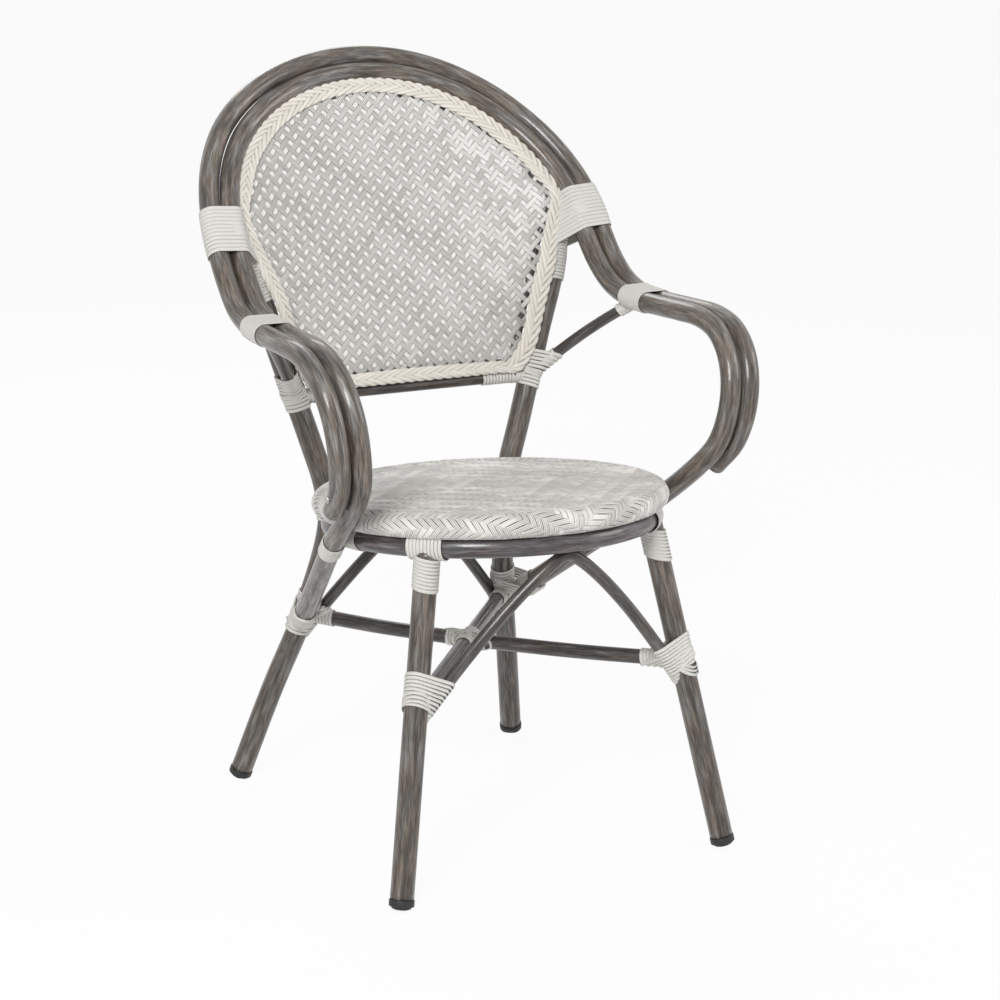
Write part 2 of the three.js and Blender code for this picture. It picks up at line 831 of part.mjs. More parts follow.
function backBraidGeometry() {
  const sections = [];
  for (let k = 0; k < borderStations; k += 1) {
    const over = overCurve.getPointAt(k / borderStations);
    const edge = borderCurve.getPointAt(k / borderStations);
    const reach = edge.distanceTo(new THREE.Vector3(0, edge.y, panelCentre));
    const inner = panelPoint(edge, 1 - braidWidth * 4 / 5 / reach)
      .addScaledVector(panelFront, panelThickness / 2 + braidLift);
    const middle = over.clone().lerp(inner, 0.5).addScaledVector(panelFront, braidLift);
    const section = [over, middle, inner];
    const raised = [inner, middle, over]
      .map(point => point.clone().addScaledVector(panelFront, braidThickness));
    sections.push([...section, ...raised].reverse());
  }
  return skinOver(sections, true);
}

function addBack() {
  addPiece('back_panel', backPanelGeometry(), weave);
  addPiece('back_braid', backBraidGeometry(), strand);
}

// Windings: one strand wound round a bundle of tubes. Each turn follows the bundle's outline, which
// is the outline of a taut string round the circles that the tubes make in the turn's plane.
function crossingOf(route, point, normal) {
  const samples = 160;
  let best = null;
  let before = null;
  for (let k = 0; k <= samples; k += 1) {
    const place = route.getPoint(k / samples);
    const side = place.clone().sub(point).dot(normal);
    if (before && before.side * side <= 0) {
      const share = before.side / (before.side - side);
      const hit = before.place.clone().lerp(place, share);
      const slant = Math.abs(place.clone().sub(before.place).normalize().dot(normal));
      if (!best || hit.distanceTo(point) < best.hit.distanceTo(point)) {
        best = { hit, slant };
      }
    }
    before = { place, side };
  }
  return best;
}

function tautPoint(circles, direction, axisA, axisB) {
  let reach = -Infinity;
  let found = null;
  const outward = axisA.clone().multiplyScalar(Math.cos(direction))
    .addScaledVector(axisB, Math.sin(direction));
  for (const { centre, radius } of circles) {
    const support = centre.dot(outward) + radius;
    if (support > reach) {
      reach = support;
      found = centre.clone().addScaledVector(outward, radius);
    }
  }
  return { point: found, outward };
}

// The turns stand square to the straight line between the winding's two ends.
function winding(name, start, end, bundle, turnSteps, seat) {
  const guide = new THREE.LineCurve3(start, end);
  const normal = guide.getTangentAt(0);
  const span = guide.getLength();
  const turns = Math.round(span / strandPitch);
  const stations = turns * turnSteps;
  const spread = 1 / Math.cos(Math.PI / turnSteps);
  const places = [];
  for (let k = 0; k <= stations; k += 1) {
    const centre = guide.getPointAt(k / stations);
    const axisA = across.clone().projectOnPlane(normal).normalize();
    const axisB = new THREE.Vector3().crossVectors(normal, axisA);
    const circles = [];
    for (const { route, diameter } of bundle) {
      const meeting = crossingOf(route, centre, normal);
      if (meeting) {
        const radius = (diameter / 2 / meeting.slant + seat) * spread + strandThickness / 2;
        circles.push({ centre: meeting.hit, radius });
      }
    }
    const { point, outward } = tautPoint(circles, 2 * Math.PI * k / turnSteps, axisA, axisB);
    places.push({ point, outward });
  }
  const rings = places.map(({ point, outward }) => {
    const corners = [[-1, -1], [1, -1], [1, 1], [-1, 1]];
    return corners.map(([w, t]) => point.clone()
      .addScaledVector(normal, w * strandWidth / 2)
      .addScaledVector(outward, t * strandThickness / 2));
  });
  let least = Infinity;
  for (let k = 0; k + turnSteps < places.length; k += 1) {
    const gap = places[k].point.distanceTo(places[k + turnSteps].point) - strandWidth;
    least = Math.min(least, gap);
  }
  console.log(`${name}: ${turns} turns, least gap to itself ${least.toFixed(2)} mm`);
  return skinOver(rings, false);
}

function addWinding(name, route, shares, bundle, turnSteps, seat) {
  const [start, end] = shares.map(share => route.getPointAt(share));
  addPiece(name, winding(name, start, end, bundle, turnSteps, seat), strand);
}

function addWindings() {
  const bentSeat = strandSeat + bendAllowance;
  for (const [name, side] of Object.entries(SIDES)) {
    const upright = rods[`rear_${name}`];
    const backEnds = backBindingShares.map(share => 0.5 + side * share / 2);
    addWinding(`back_binding_${name}`, hoopMid, backEnds, [rods.outer, rods.inner, upright], backTurnSteps,
      bentSeat);
    const sleeveEnds = [uprightSleeveTop, uprightSleeveTop - uprightSleeveLength]
      .map(height => shareAtHeight(upright.route, height));
    addWinding(`upright_sleeve_${name}`, upright.route, sleeveEnds, [upright], legTurnSteps, bentSeat);
    const leg = rods[`front_${name}`];
    const legEnds = [frontTopBindingTop, frontTopBindingTop - frontTopBindingLength]
      .map(height => shareAtHeight(leg.route, height));
    addWinding(`front_top_binding_${name}`, leg.route, legEnds, [leg], legTurnSteps, strandSeat);
  }
}

// Plain sleeves: lengths of thicker tube over each tube that a binding grips, joined and then cut
// clear of the tubes themselves
function sleeve(piece, from, to, wall) {
  const thick = piece.diameter + 2 * (clearance + wall);
  return tube(stretch(piece.route, from, to), thick, piece.sleeveSteps, sleeveSides);
}

// A sleeve stretched over both hoops and the brace's end between two places on the mid-line
function tautSleeve(side, shares, wall) {
  const radius = hoopTube / 2 + clearance + wall;
  const rings = [0, 0.5, 1].map(part => {
    const share = THREE.MathUtils.lerp(shares[0], shares[1], part);
    const outward = outwardAt(side, share);
    const normal = midTangent(side, share);
    const other = new THREE.Vector3().crossVectors(normal, outward);
    const circles = [-1, 1].map(offset => {
      const centre = hoopPoint(side, share, offset * hoopPitch / 2);
      return { centre, radius };
    });
    const under = innerPoint(side, share).addScaledVector(up, -(hoopTube + braceTube) / 2);
    circles.push({ centre: under, radius: braceTube / 2 + clearance + wall });
    return ringOfPoints(tautSteps, turn => tautPoint(circles, 2 * Math.PI * turn, outward, other).point);
  });
  return skinOver(rings, false);
}

function sleeveAtHeight(piece, low, high, wall) {
  const shares = [low, high].map(height => shareAtHeight(piece.route, height));
  return sleeve(piece, Math.min(...shares), Math.max(...shares), wall);
}

function sleeveAtStart(piece, length, wall) {
  return sleeve(piece, 0, length / piece.length, wall);
}

function sleeveAtEnd(piece, length, wall) {
  return sleeve(piece, 1 - length / piece.length, 1, wall);
}

function ringSleeve(angle, length, wall) {
  const half = length / 2 / ringRadius;
  const points = [-1, 0, 1].map(share => onRing(angle + share * half, ringRadius, 0));
  return tube(routeThrough(points), ringTube + 2 * (clearance + wall), 2, sleeveSides);
}

function addBinding(name, sleeves, cutters) {
  addPiece(name, cut(join(sleeves), cutters), strand);
}

function addBackSleeves() {
  for (const [name, side] of Object.entries(SIDES)) {
    const upright = rods[`rear_${name}`];
    const brace = rods[`brace_${name}`];
    const armSleeve = tautSleeve(side, armBindingShares, sleeveWall);
    addBinding(`arm_binding_${name}`, [armSleeve],
      [rods.outer.cutter(), rods.inner.cutter(), brace.cutter()]);
    const cornerLevels = [railHeight - cornerBindingDrop, railHeight + cornerBindingRise];
    const corner = sleeveAtHeight(upright, ...cornerLevels, sleeveWall);
    const braceStart = sleeveAtStart(brace, legTube / 2 + braceBindingLength, sleeveWall);
    addBinding(`corner_binding_${name}`, [corner, braceStart],
      [upright.cutter(), brace.cutter(), railSleeve(side).cutter]);
    addBinding(`rail_binding_${name}`, [railSleeve(side).body], [upright.cutter(), rods.rail.cutter()]);
  }
}

// The rail's own winding stands against the upright's
function railSleeve(side) {
  const start = legTube / 2 + sleeveWall + 2 * clearance;
  const route = new THREE.LineCurve3(
    new THREE.Vector3(side * railEnd.x, railEnd.y, railEnd.z),
    new THREE.Vector3(side * (railEnd.x - start - railBindingLength), railEnd.y, railEnd.z),
  );
  const thick = railTube + 2 * (clearance + sleeveWall);
  return {
    body: tube(route, thick, 1, sleeveSides),
    cutter: tube(route, thick + 2 * clearance, 1, sleeveSides),
  };
}

function addSeatSleeves() {
  for (const [name, side] of Object.entries(SIDES)) {
    const legAngle = side > 0 ? frontLegAngle : Math.PI - frontLegAngle;
    const leg = rods[`front_${name}`];
    addBinding(`ring_wrap_${name}`, [ringSleeve(legAngle, ringWrapLength, sleeveWall)],
      [ringCutter(), rimCutter(), leg.cutter()]);
    const passAngle = side > 0 ? hoopPassAngle : Math.PI - hoopPassAngle;
    const pass = passShare(side);
    const half = armRingBindingLength / rods.inner.length;
    const lowerShares = [pass, pass + side * half].sort((a, b) => a - b);
    const hoopSleeve = sleeve(rods.inner, ...lowerShares, sleeveWall);
    const ringPart = ringSleeve(passAngle, armRingBindingLength, sleeveWall);
    addBinding(`arm_ring_binding_${name}`, [hoopSleeve, ringPart],
      [ringCutter(), rimCutter(), rods.inner.cutter()]);
    const upright = rods[`rear_${name}`];
    const ringLevel = onRing(uprightAngle, ringRadius, 0).z;
    const gripReach = uprightRingBindingLength / 2;
    const gripLevels = [ringLevel - gripReach, ringLevel + gripReach];
    const grip = sleeveAtHeight(upright, ...gripLevels, uprightRingBindingWall);
    const rearAngle = side > 0 ? uprightAngle : Math.PI - uprightAngle;
    addBinding(`upright_ring_binding_${name}`,
      [grip, ringSleeve(rearAngle, uprightRingBindingLength, uprightRingBindingWall)],
      [ringCutter(), rimCutter(), upright.cutter(), rods.rearArch.cutter()]);
  }
}

// Where the inner hoop passes the ring, as a share of the hoop's whole length
function passShare(side) {
  const height = hoopPass.z;
  const half = rods.inner.route;
  let low = side > 0 ? 0.75 : 0.25;
  let high = side > 0 ? 1 : 0;
  for (let k = 0; k < 40; k += 1) {
    const middle = (low + high) / 2;
    if (half.getPointAt(middle).z > height) {
      low = middle;
    } else {
      high = middle;
    }
  }
  return (low + high) / 2;
}

function addLowSleeves() {
  const wall = sleeveWall;
  const barLength = legTube / 2 + barBindingLength;
  const archLength = legTube / 2 + archBindingLength;
  const tubes = [rods.through, rods.halfFront, rods.halfRear, rods.frontArch, rods.rearArch, rods.inner];
  const archEnds = {
    frontleft: () => sleeveAtStart(rods.frontArch, archLength, wall),
    frontright: () => sleeveAtEnd(rods.frontArch, archLength, wall),
    rearleft: () => sleeveAtStart(rods.rearArch, archLength, wall),
    rearright: () => sleeveAtEnd(rods.rearArch, archLength, wall),
  };
  const barEnds = {
    frontleft: () => sleeveAtStart(rods.through, barLength, wall),
    frontright: () => sleeveAtStart(rods.halfFront, barLength, wall),
    rearleft: () => sleeveAtStart(rods.halfRear, barLength, wall),
    rearright: () => sleeveAtEnd(rods.through, barLength, wall),
  };
  for (const [name, side] of Object.entries(SIDES)) {
    const front = rods[`front_${name}`];
    const frontGrip = sleeveAtHeight(front, frontLowBindingBottom, frontLowBindingTop, wall);
    addBinding(`front_low_binding_${name}`,
      [frontGrip, barEnds[`front${name}`](), archEnds[`front${name}`]()],
      [front.cutter(), ...tubes.map(piece => piece.cutter())]);
    const rear = rods[`rear_${name}`];
    const rearGrip = sleeveAtHeight(rear, rearLowBindingBottom, rearLowBindingTop, wall);
    const gripFrom = hoopEndBindingLength / rods.inner.length;
    const gripTo = hoopEndInset / rods.inner.length;
    const hoopGrip = side > 0
      ? sleeve(rods.inner, 1 - gripFrom, 1 - gripTo, wall)
      : sleeve(rods.inner, gripTo, gripFrom, wall);
    addBinding(`rear_low_binding_${name}`,
      [rearGrip, hoopGrip, barEnds[`rear${name}`](), archEnds[`rear${name}`]()],
      [rear.cutter(), ...tubes.map(piece => piece.cutter())]);
  }
  const throughMiddle = throughFront.distanceTo(crossing) / rods.through.length;
  const reach = centreBindingLength / rods.through.length;
  addBinding('centre_binding', [
    sleeve(rods.through, throughMiddle - reach, throughMiddle + reach, wall),
    sleeveAtEnd(rods.halfFront, centreBindingLength, wall),
    sleeveAtEnd(rods.halfRear, centreBindingLength, wall),
  ], [rods.through.cutter(), rods.halfFront.cutter(), rods.halfRear.cutter()]);
}

addFrame();
addFootCaps();
addHoopEnds();
addSeat();
addBack();
addWindings();
addBackSleeves();
addSeatSleeves();
addLowSleeves();

// The origin is the middle of the chair's outer box, on the floor
const bounds = new THREE.Box3().setFromObject(chair);
chair.position.y = -(bounds.min.y + bounds.max.y) / 2;
console.log(`seat centre stands at Y = ${chair.position.y.toFixed(3)} mm`);

export default chair;
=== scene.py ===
# %% [markdown]
# # A bistro armchair of painted tube and woven strand
# The real chair is a frame of bent aluminium tube with a woven seat and back. Flat plastic
# strand is bound round each joint. The CAD model already holds every tube and binding in its
# place, so this lesson dresses it: smooth tubes, real strands and a finish for each material.
# We start by loading that model.

import math

import bmesh
import bpy
import numpy as np
from mathutils import Matrix, Vector


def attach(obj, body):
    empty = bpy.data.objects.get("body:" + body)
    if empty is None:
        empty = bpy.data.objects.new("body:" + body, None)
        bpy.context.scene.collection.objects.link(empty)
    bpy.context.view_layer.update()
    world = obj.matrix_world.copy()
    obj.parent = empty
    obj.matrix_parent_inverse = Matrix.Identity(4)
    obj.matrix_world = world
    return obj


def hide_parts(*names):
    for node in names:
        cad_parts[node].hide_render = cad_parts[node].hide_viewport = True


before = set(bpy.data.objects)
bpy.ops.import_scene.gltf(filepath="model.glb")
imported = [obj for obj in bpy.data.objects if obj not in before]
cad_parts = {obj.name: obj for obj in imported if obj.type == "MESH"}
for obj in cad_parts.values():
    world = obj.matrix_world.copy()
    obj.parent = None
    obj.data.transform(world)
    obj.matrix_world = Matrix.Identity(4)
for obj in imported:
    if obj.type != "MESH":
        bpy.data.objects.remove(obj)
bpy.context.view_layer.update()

# %% [markdown]
# ## The camera
# The photograph was taken from the chair's front left, a little above the arms. The camera's
# place is given by three turns, a distance and a small shift of the picture. A matrix built
# from its three axes needs no aiming constraint, so that is the way chosen here.

# %% Camera
SENSOR, FOCAL_LENGTH, DISTANCE = 36, 2.6692, 3.1433
AIM_RIGHT, AIM_UP, AIM_Y = -0.1213, 0.4370, -0.27983
yaw, pitch, roll = (math.radians(a) for a in (-28.76, 14.15, 0.57))
back = Vector((math.sin(yaw) * math.cos(pitch), -math.cos(yaw) * math.cos(pitch), math.sin(pitch)))
level_right = Vector((math.cos(yaw), math.sin(yaw), 0))
level_up = back.cross(level_right)
right = level_right * math.cos(roll) + level_up * math.sin(roll)
upward = level_up * math.cos(roll) - level_right * math.sin(roll)
place = AIM_RIGHT * right + AIM_UP * upward + DISTANCE * back + Vector((0, AIM_Y, 0))


def add_object(name, data):
    """A new object in the scene, with a camera, a mesh or a lamp as its data."""
    made = bpy.data.objects.new(name, data)
    bpy.context.scene.collection.objects.link(made)
    return made


camera = add_object("camera", bpy.data.cameras.new("camera"))
camera.data.sensor_width = SENSOR
camera.data.lens = SENSOR * FOCAL_LENGTH
camera.data.shift_x = 0.0354
camera.data.shift_y = 0.0052
camera.matrix_world = Matrix.Translation(place) @ Matrix((right, upward, back)).transposed().to_4x4()
bpy.context.scene.camera = camera
print("camera stands at", [round(v, 3) for v in place])

# %% [markdown]
# ## Colours and nodes
# Paint and plastic colours are read off as screen colours, and a shader wants linear ones.
# One function turns them. A second one adds a node, sets it up and links it, because every
# finish below needs that and nothing else.

# %% Helpers for materials


def linear(hex_colour):
    """A screen colour as the linear colour that a shader wants."""
    parts = [int(hex_colour[k:k + 2], 16) / 255 for k in (1, 3, 5)]
    return tuple(p / 12.92 if p <= 0.04045 else ((p + 0.055) / 1.055) ** 2.4 for p in parts) + (1,)


def node(tree, kind, inputs=None, **settings):
    """Adds a node with its settings. Inputs are values, or the sockets to link from."""
    made = tree.nodes.new(kind)
    for name, value in settings.items():
        setattr(made, name, value)
    for socket, value in (inputs or {}).items():
        if isinstance(value, bpy.types.NodeSocket):
            tree.links.new(value, made.inputs[socket])
        else:
            made.inputs[socket].default_value = value
    return made


def new_finish(name, roughness, **constants):
    """An empty material with its Principled shader, and the tree to add nodes to."""
    material = bpy.data.materials.new(name)
    material.use_nodes = True
    shader = material.node_tree.nodes["Principled BSDF"]
    shader.inputs["Roughness"].default_value = roughness
    for socket, value in constants.items():
        shader.inputs[socket.replace("_", " ")].default_value = value
    return material, material.node_tree, shader


def ramp(tree, factor, stops):
    """A colour ramp with a stop for each (position, screen colour)."""
    made = node(tree, "ShaderNodeValToRGB", {"Fac": factor})
    elements = made.color_ramp.elements
    while len(elements) < len(stops):
        elements.new(0.5)
    for element, (position, colour) in zip(elements, stops):
        element.position = position
        element.color = linear(colour)
    return made.outputs["Color"]


# %% [markdown]
# ## Brushed paint on the tubes
# The tubes are painted dark grey-brown, then a lighter grey is dragged along them with a dry
# brush to look like old cane. So the colour changes slowly along a tube and fast round it:
# strokes 0.8 mm wide and 15 mm long lie on broader bands, and patches turn bluer.
# Each tube carries a UV map: its length in metres, and how far round it is. Two turns of
# that second value, a cosine and a sine, make a pattern with no seam where the map closes.

# %% Tube paint


def along_and_round(tree, length_mm, round_mm, radius_mm):
    """Texture coordinates from a tube's UV map, with no seam: features this long and wide."""
    uv = node(tree, "ShaderNodeSeparateXYZ", {0: node(tree, "ShaderNodeUVMap").outputs[0]})
    turn = node(tree, "ShaderNodeMath", {0: uv.outputs[1], 1: 2 * math.pi}, operation="MULTIPLY")
    length = node(tree, "ShaderNodeMath", {0: uv.outputs[0], 1: 1000 / length_mm}, operation="MULTIPLY")
    parts = {0: length.outputs[0]}
    for socket, operation in ((1, "COSINE"), (2, "SINE")):
        wave = node(tree, "ShaderNodeMath", {0: turn.outputs[0]}, operation=operation)
        scaled = node(tree, "ShaderNodeMath", {0: wave.outputs[0], 1: radius_mm / round_mm},
                      operation="MULTIPLY")
        parts[socket] = scaled.outputs[0]
    return node(tree, "ShaderNodeCombineXYZ", parts).outputs[0]


def brushed_paint(name, brown, blue_grey, radius_mm):
    """Brown paint with blue-grey patches. Each is given by its dark, middle and light colour."""
    material, tree, shader = new_finish(name, 0.42, Specular_IOR_Level=0.3, Coat_Weight=0.5,
                                        Coat_Roughness=0.13)
    strokes, bands, patches = (node(tree, "ShaderNodeTexNoise", {
        "Vector": along_and_round(tree, length_mm, round_mm, radius_mm), "Scale": 1.0, "Detail": detail})
        for length_mm, round_mm, detail in ((15, 0.8, 3.0), (48, 5, 2.0), (42, 9, 1.0)))
    both = node(tree, "ShaderNodeMix", {
        0: 0.5, 2: strokes.outputs[0], 3: bands.outputs[0]}, data_type="FLOAT")
    warm, cool = (ramp(tree, both.outputs[0], [(0.32, dark), (0.5, middle), (0.68, light)])
                  for dark, middle, light in (brown, blue_grey))
    share = node(tree, "ShaderNodeMapRange", {0: patches.outputs[0], 1: 0.46, 2: 0.64, 3: 0.0, 4: 1.0})
    colour = node(tree, "ShaderNodeMix", {0: share.outputs[0], 6: warm, 7: cool}, data_type="RGBA")
    tree.links.new(colour.outputs[2], shader.inputs["Base Color"])
    height = node(tree, "ShaderNodeBump", {
        "Strength": 0.2, "Distance": 0.0003, "Height": strokes.outputs[0]})
    tree.links.new(height.outputs[0], shader.inputs["Normal"])
    return material


# One paint in four copies whose brightness differs as painted shade: the hoops' copy is lightest, the seat
# ring's and the legs' are darker, and that of the thin tubes under the seat is darkest.
leg_paint_shaded = brushed_paint("brushed enamel on leg tube, darkened as painted shade", ("#221d1a", "#544a42", "#857a70"),
                          ("#262422", "#595652", "#8b8884"), 14)
hoop_paint = brushed_paint("brushed enamel on bent hoop tube", ("#241f1b", "#5d534a", "#93887d"),
                           ("#2a2827", "#63605d", "#9f9c98"), 12.5)
ring_paint_shaded = brushed_paint("brushed enamel on the seat ring, darkened as painted shade", ("#221e1d", "#4b4443", "#807877"),
                           ("#282728", "#535154", "#8a888c"), 12.5)
bar_paint_shaded = brushed_paint("brushed enamel on thin tube, darkest as painted shade", ("#1b1816", "#423b37", "#706861"),
                          ("#222120", "#494745", "#7a7875"), 8)
print("tube paints:", [m.name for m in (leg_paint_shaded, hoop_paint, ring_paint_shaded, bar_paint_shaded)])

# %% [markdown]
# ## Plastic strand
# The strand is extruded polyethylene: a flat band with fine ribs along it, matt with a faint
# sheen. The ribs are too fine to model on every band, so they come from the UV map, as a bump
# and as dark lines in the grooves between them, which are painted shade. Each band has its own
# tone, kept in an attribute, and the painted shade in a grey band's grooves is darker than in a pale
# one's.

# %% Strand plastics


def strand_plastic(name, pale, grey, ribs, groove_shade):
    """Extruded strand. Its tone goes from pale to grey, and the painted shade in its grooves gets darker
    with it.
    """
    material, tree, shader = new_finish(name, 0.55, Specular_IOR_Level=0.35)
    tone = node(tree, "ShaderNodeAttribute", attribute_name="tone")
    body = node(tree, "ShaderNodeMix", {
        0: tone.outputs["Fac"], 6: linear(pale), 7: linear(grey)}, data_type="RGBA")
    uv = node(tree, "ShaderNodeSeparateXYZ", {0: node(tree, "ShaderNodeUVMap").outputs[0]})
    across = node(tree, "ShaderNodeMath", {0: uv.outputs[1], 1: ribs * 4 / 3 * math.pi},
                  operation="MULTIPLY")
    wave = node(tree, "ShaderNodeMath", {0: across.outputs[0]}, operation="SINE")
    size = node(tree, "ShaderNodeMath", {0: wave.outputs[0]}, operation="ABSOLUTE")
    # Painted shade: the grooves between the ribs are mixed toward a dark grey, more on grey bands than on
    # pale ones.
    darkest_groove_shade = node(tree, "ShaderNodeMapRange", {
        0: tone.outputs["Fac"], 1: 0.05, 2: 0.3, 3: 0.9, 4: groove_shade})
    groove_shade_mix = node(tree, "ShaderNodeMapRange", {
        0: size.outputs[0], 1: 0.0, 2: 0.9, 3: darkest_groove_shade.outputs[0], 4: 1.0})
    shade = node(tree, "ShaderNodeMix", {
        0: groove_shade_mix.outputs[0], 6: linear("#6d6965"), 7: body.outputs[2]}, data_type="RGBA")
    tree.links.new(shade.outputs[2], shader.inputs["Base Color"])
    grain = node(tree, "ShaderNodeTexNoise", {
        "Vector": node(tree, "ShaderNodeTexCoord").outputs["Object"], "Scale": 900.0, "Detail": 2.0})
    relief = node(tree, "ShaderNodeMath", {0: size.outputs[0], 1: grain.outputs[0]}, operation="ADD")
    bump = node(tree, "ShaderNodeBump", {
        "Strength": 0.25, "Distance": 0.0004, "Height": relief.outputs[0]})
    tree.links.new(bump.outputs[0], shader.inputs["Normal"])
    return material


back_weave = strand_plastic("extruded polyethylene band, pale grey", "#e9e7e4", "#c3c0bc", 3, 0.0)
seat_weave = strand_plastic("extruded polyethylene band, off-white", "#edeae6", "#c6c3be", 3, 0.2)
binding_strand = strand_plastic("extruded polyethylene strand, white", "#dad8d3", "#cac7c1", 1, 0.86)
braid_strand = strand_plastic("extruded polyethylene strand, cream", "#e8e3da", "#d8d2c8", 2, 0.8)
print("strand plastics:", [m.name for m in (back_weave, seat_weave, binding_strand, braid_strand)])

# %% [markdown]
# ## Foot plastic and rivet metal
# The feet are moulded black polypropylene with a fine spark-eroded grain, and the rivets are
# bare aluminium. Both are small, so an even noise on the object's own coordinates is enough.

# %% Foot plastic and rivet metal


def grained(name, colours, roughness, grain_mm, depth, **constants):
    """A moulded or turned surface with an even grain of this size in millimetres."""
    material, tree, shader = new_finish(name, roughness, **constants)
    coordinates = node(tree, "ShaderNodeTexCoord").outputs["Object"]
    grain = node(tree, "ShaderNodeTexNoise", {
        "Vector": coordinates, "Scale": 1000 / grain_mm, "Detail": 3.0})
    colour = ramp(tree, grain.outputs[0], [(0.3, colours[0]), (0.7, colours[1])])
    tree.links.new(colour, shader.inputs["Base Color"])
    bump = node(tree, "ShaderNodeBump", {
        "Strength": 0.3, "Distance": depth, "Height": grain.outputs[0]})
    tree.links.new(bump.outputs[0], shader.inputs["Normal"])
    return material


foot_plastic = grained("moulded polypropylene, black", ("#1b1b1c", "#2a2a2b"), 0.5, 1.2, 0.0002)
rivet_metal = grained("turned aluminium", ("#a5a29d", "#c9c6c1"), 0.34, 0.8, 0.0001, Metallic=1.0)
print("small parts:", foot_plastic.name, "and", rivet_metal.name)

# %% [markdown]
# ## Smooth routes
# Every tube follows a smooth line through a few measured points, in millimetres from the
# middle of the seat. The CAD model uses the centripetal Catmull-Rom spline, which passes
# through its points without loops, so the same spline is used here and the tubes coincide.

# %% Routes
SEAT_Y = -84.32
BOTH_SIDES = (("right", 1), ("left", -1))


def route(points, closed=False, per_span=16):
    """A dense smooth line through the points, which are rows of x, y and z."""
    points = np.asarray(points, float)
    if closed:
        ends = np.vstack([points[-1:], points, points[:2]])
    else:
        ends = np.vstack([2 * points[0] - points[1], points, 2 * points[-1] - points[-2]])
    lines = []
    for p0, p1, p2, p3 in zip(ends, ends[1:], ends[2:], ends[3:]):
        t0, t1, t2 = (max(np.linalg.norm(b - a) ** 0.5, 1e-6) for a, b in ((p0, p1), (p1, p2), (p2, p3)))
        m1 = ((p1 - p0) / t0 - (p2 - p0) / (t0 + t1) + (p2 - p1) / t1) * t1
        m2 = ((p2 - p1) / t1 - (p3 - p1) / (t1 + t2) + (p3 - p2) / t2) * t1
        s = np.linspace(0, 1, per_span, endpoint=False)[:, None]
        lines.append((2 * s**3 - 3 * s**2 + 1) * p1 + (s**3 - 2 * s**2 + s) * m1
                     + (3 * s**2 - 2 * s**3) * p2 + (s**3 - s**2) * m2)
    last = points[:1] if closed else points[-1:]
    return np.vstack([*lines, last])


def shares_of(line):
    """How far along the line each of its points is, from 0 to 1."""
    steps = np.linalg.norm(np.diff(line, axis=0), axis=1)
    return np.concatenate([[0], np.cumsum(steps)]) / steps.sum()


def length_of(line):
    """The line's length in millimetres."""
    return np.linalg.norm(np.diff(line, axis=0), axis=1).sum()


def at(line, share):
    """The point or points at these shares of the line's length."""
    along = shares_of(line)
    return np.stack([np.interp(share, along, line[:, axis]) for axis in range(3)], axis=-1)


def heading(line, share):
    """The line's direction at these shares of its length."""
    before, after = (at(line, np.clip(np.asarray(share) + step, 0, 1)) for step in (-0.002, 0.002))
    return unit(after - before)


def unit(vectors):
    return vectors / np.linalg.norm(vectors, axis=-1, keepdims=True)


def square_to(direction, tangent):
    """The part of a direction that is square to the tangent."""
    direction = np.array(direction, float)
    return unit(direction - tangent * (direction @ tangent))


def at_height(line, height):
    """The point where a line that rises or falls all the way passes this height."""
    order = np.argsort(line[:, 2])
    return np.array([np.interp(height, line[order, 2], line[order, axis]) for axis in range(3)])


def flipped(line):
    """The line on the other side of the chair."""
    return line * [-1, 1, 1]


def both_halves(half):
    """A smooth line from side to side, from its points on the right side."""
    return route(np.vstack([flipped(half[:0:-1]), half]))


def on_side(side, *lines):
    """The lines on the right side, which is 1, or on the left side, which is -1."""
    return [line * [side, 1, 1] for line in lines]


def smooth(value, low, high):
    """0 below low and 1 above high, with a soft step between them."""
    part = np.clip((value - low) / (high - low), 0, 1)
    return part * part * (3 - 2 * part)


# %% [markdown]
# ## The two hoops
# Two tubes lie side by side from one arm over the back to the other. Both are set off from
# one middle line, half a pitch each way. Over the back they lie in one leaning plane, and on
# the arms they lie side by side across the chair, so the direction between them is blended.

# %% Middle line of the hoops
RING_RADIUS, RING_HEIGHT, SEAT_TILT = 192, 391.7, math.radians(4.7)
RIM_RADIUS, RIM_TUBE = 199.6, 28
HOOP_TUBE, LEG_TUBE, RING_TUBE, BAR_TUBE = 25, 28, 25, 18
ARCH_TUBE, RAIL_TUBE, BRACE_TUBE = 15, 15, 14
HOOP_PITCH, CLEARANCE = 25.8, 0.3
ARM_SPREAD, ARM_REACH, BACK_REACH = 257, 138.5, 359.5
ARM_HEIGHT, BACK_HEIGHT, HOOP_LEAN = 627, 904, math.radians(41.3)
hoop_table = np.array([
    [0, 1, 3], [0.179, 0.992, 2.989], [0.358, 0.972, 2.953], [0.521, 0.944, 2.895],
    [0.669, 0.897, 2.816], [0.794, 0.836, 2.718], [0.887, 0.758, 2.61], [0.949, 0.677, 2.491],
    [0.981, 0.597, 2.365], [0.988, 0.522, 2.231], [0.992, 0.438, 2.116], [1, 0.332, 2.029],
    [1.004, 0.207, 2.004], [1.016, 0.085, 2], [1.031, -0.097, 2], [1.043, -0.422, 1.992],
    [1.043, -0.726, 1.928], [1.027, -0.942, 1.775], [1.004, -1, 1.579], [0.977, -0.921, 1.397],
    [0.953, -0.74, 1.273],
])
middle = np.stack([
    ARM_SPREAD * hoop_table[:, 0],
    hoop_table[:, 1] * np.where(hoop_table[:, 1] < 0, ARM_REACH, BACK_REACH),
    np.interp(hoop_table[:, 2], [0, 1, 2, 3], [0, RING_HEIGHT, ARM_HEIGHT, BACK_HEIGHT]),
], axis=1)
hoop_middle = both_halves(middle)
plane_front = np.array([0, -math.cos(HOOP_LEAN), math.sin(HOOP_LEAN)])


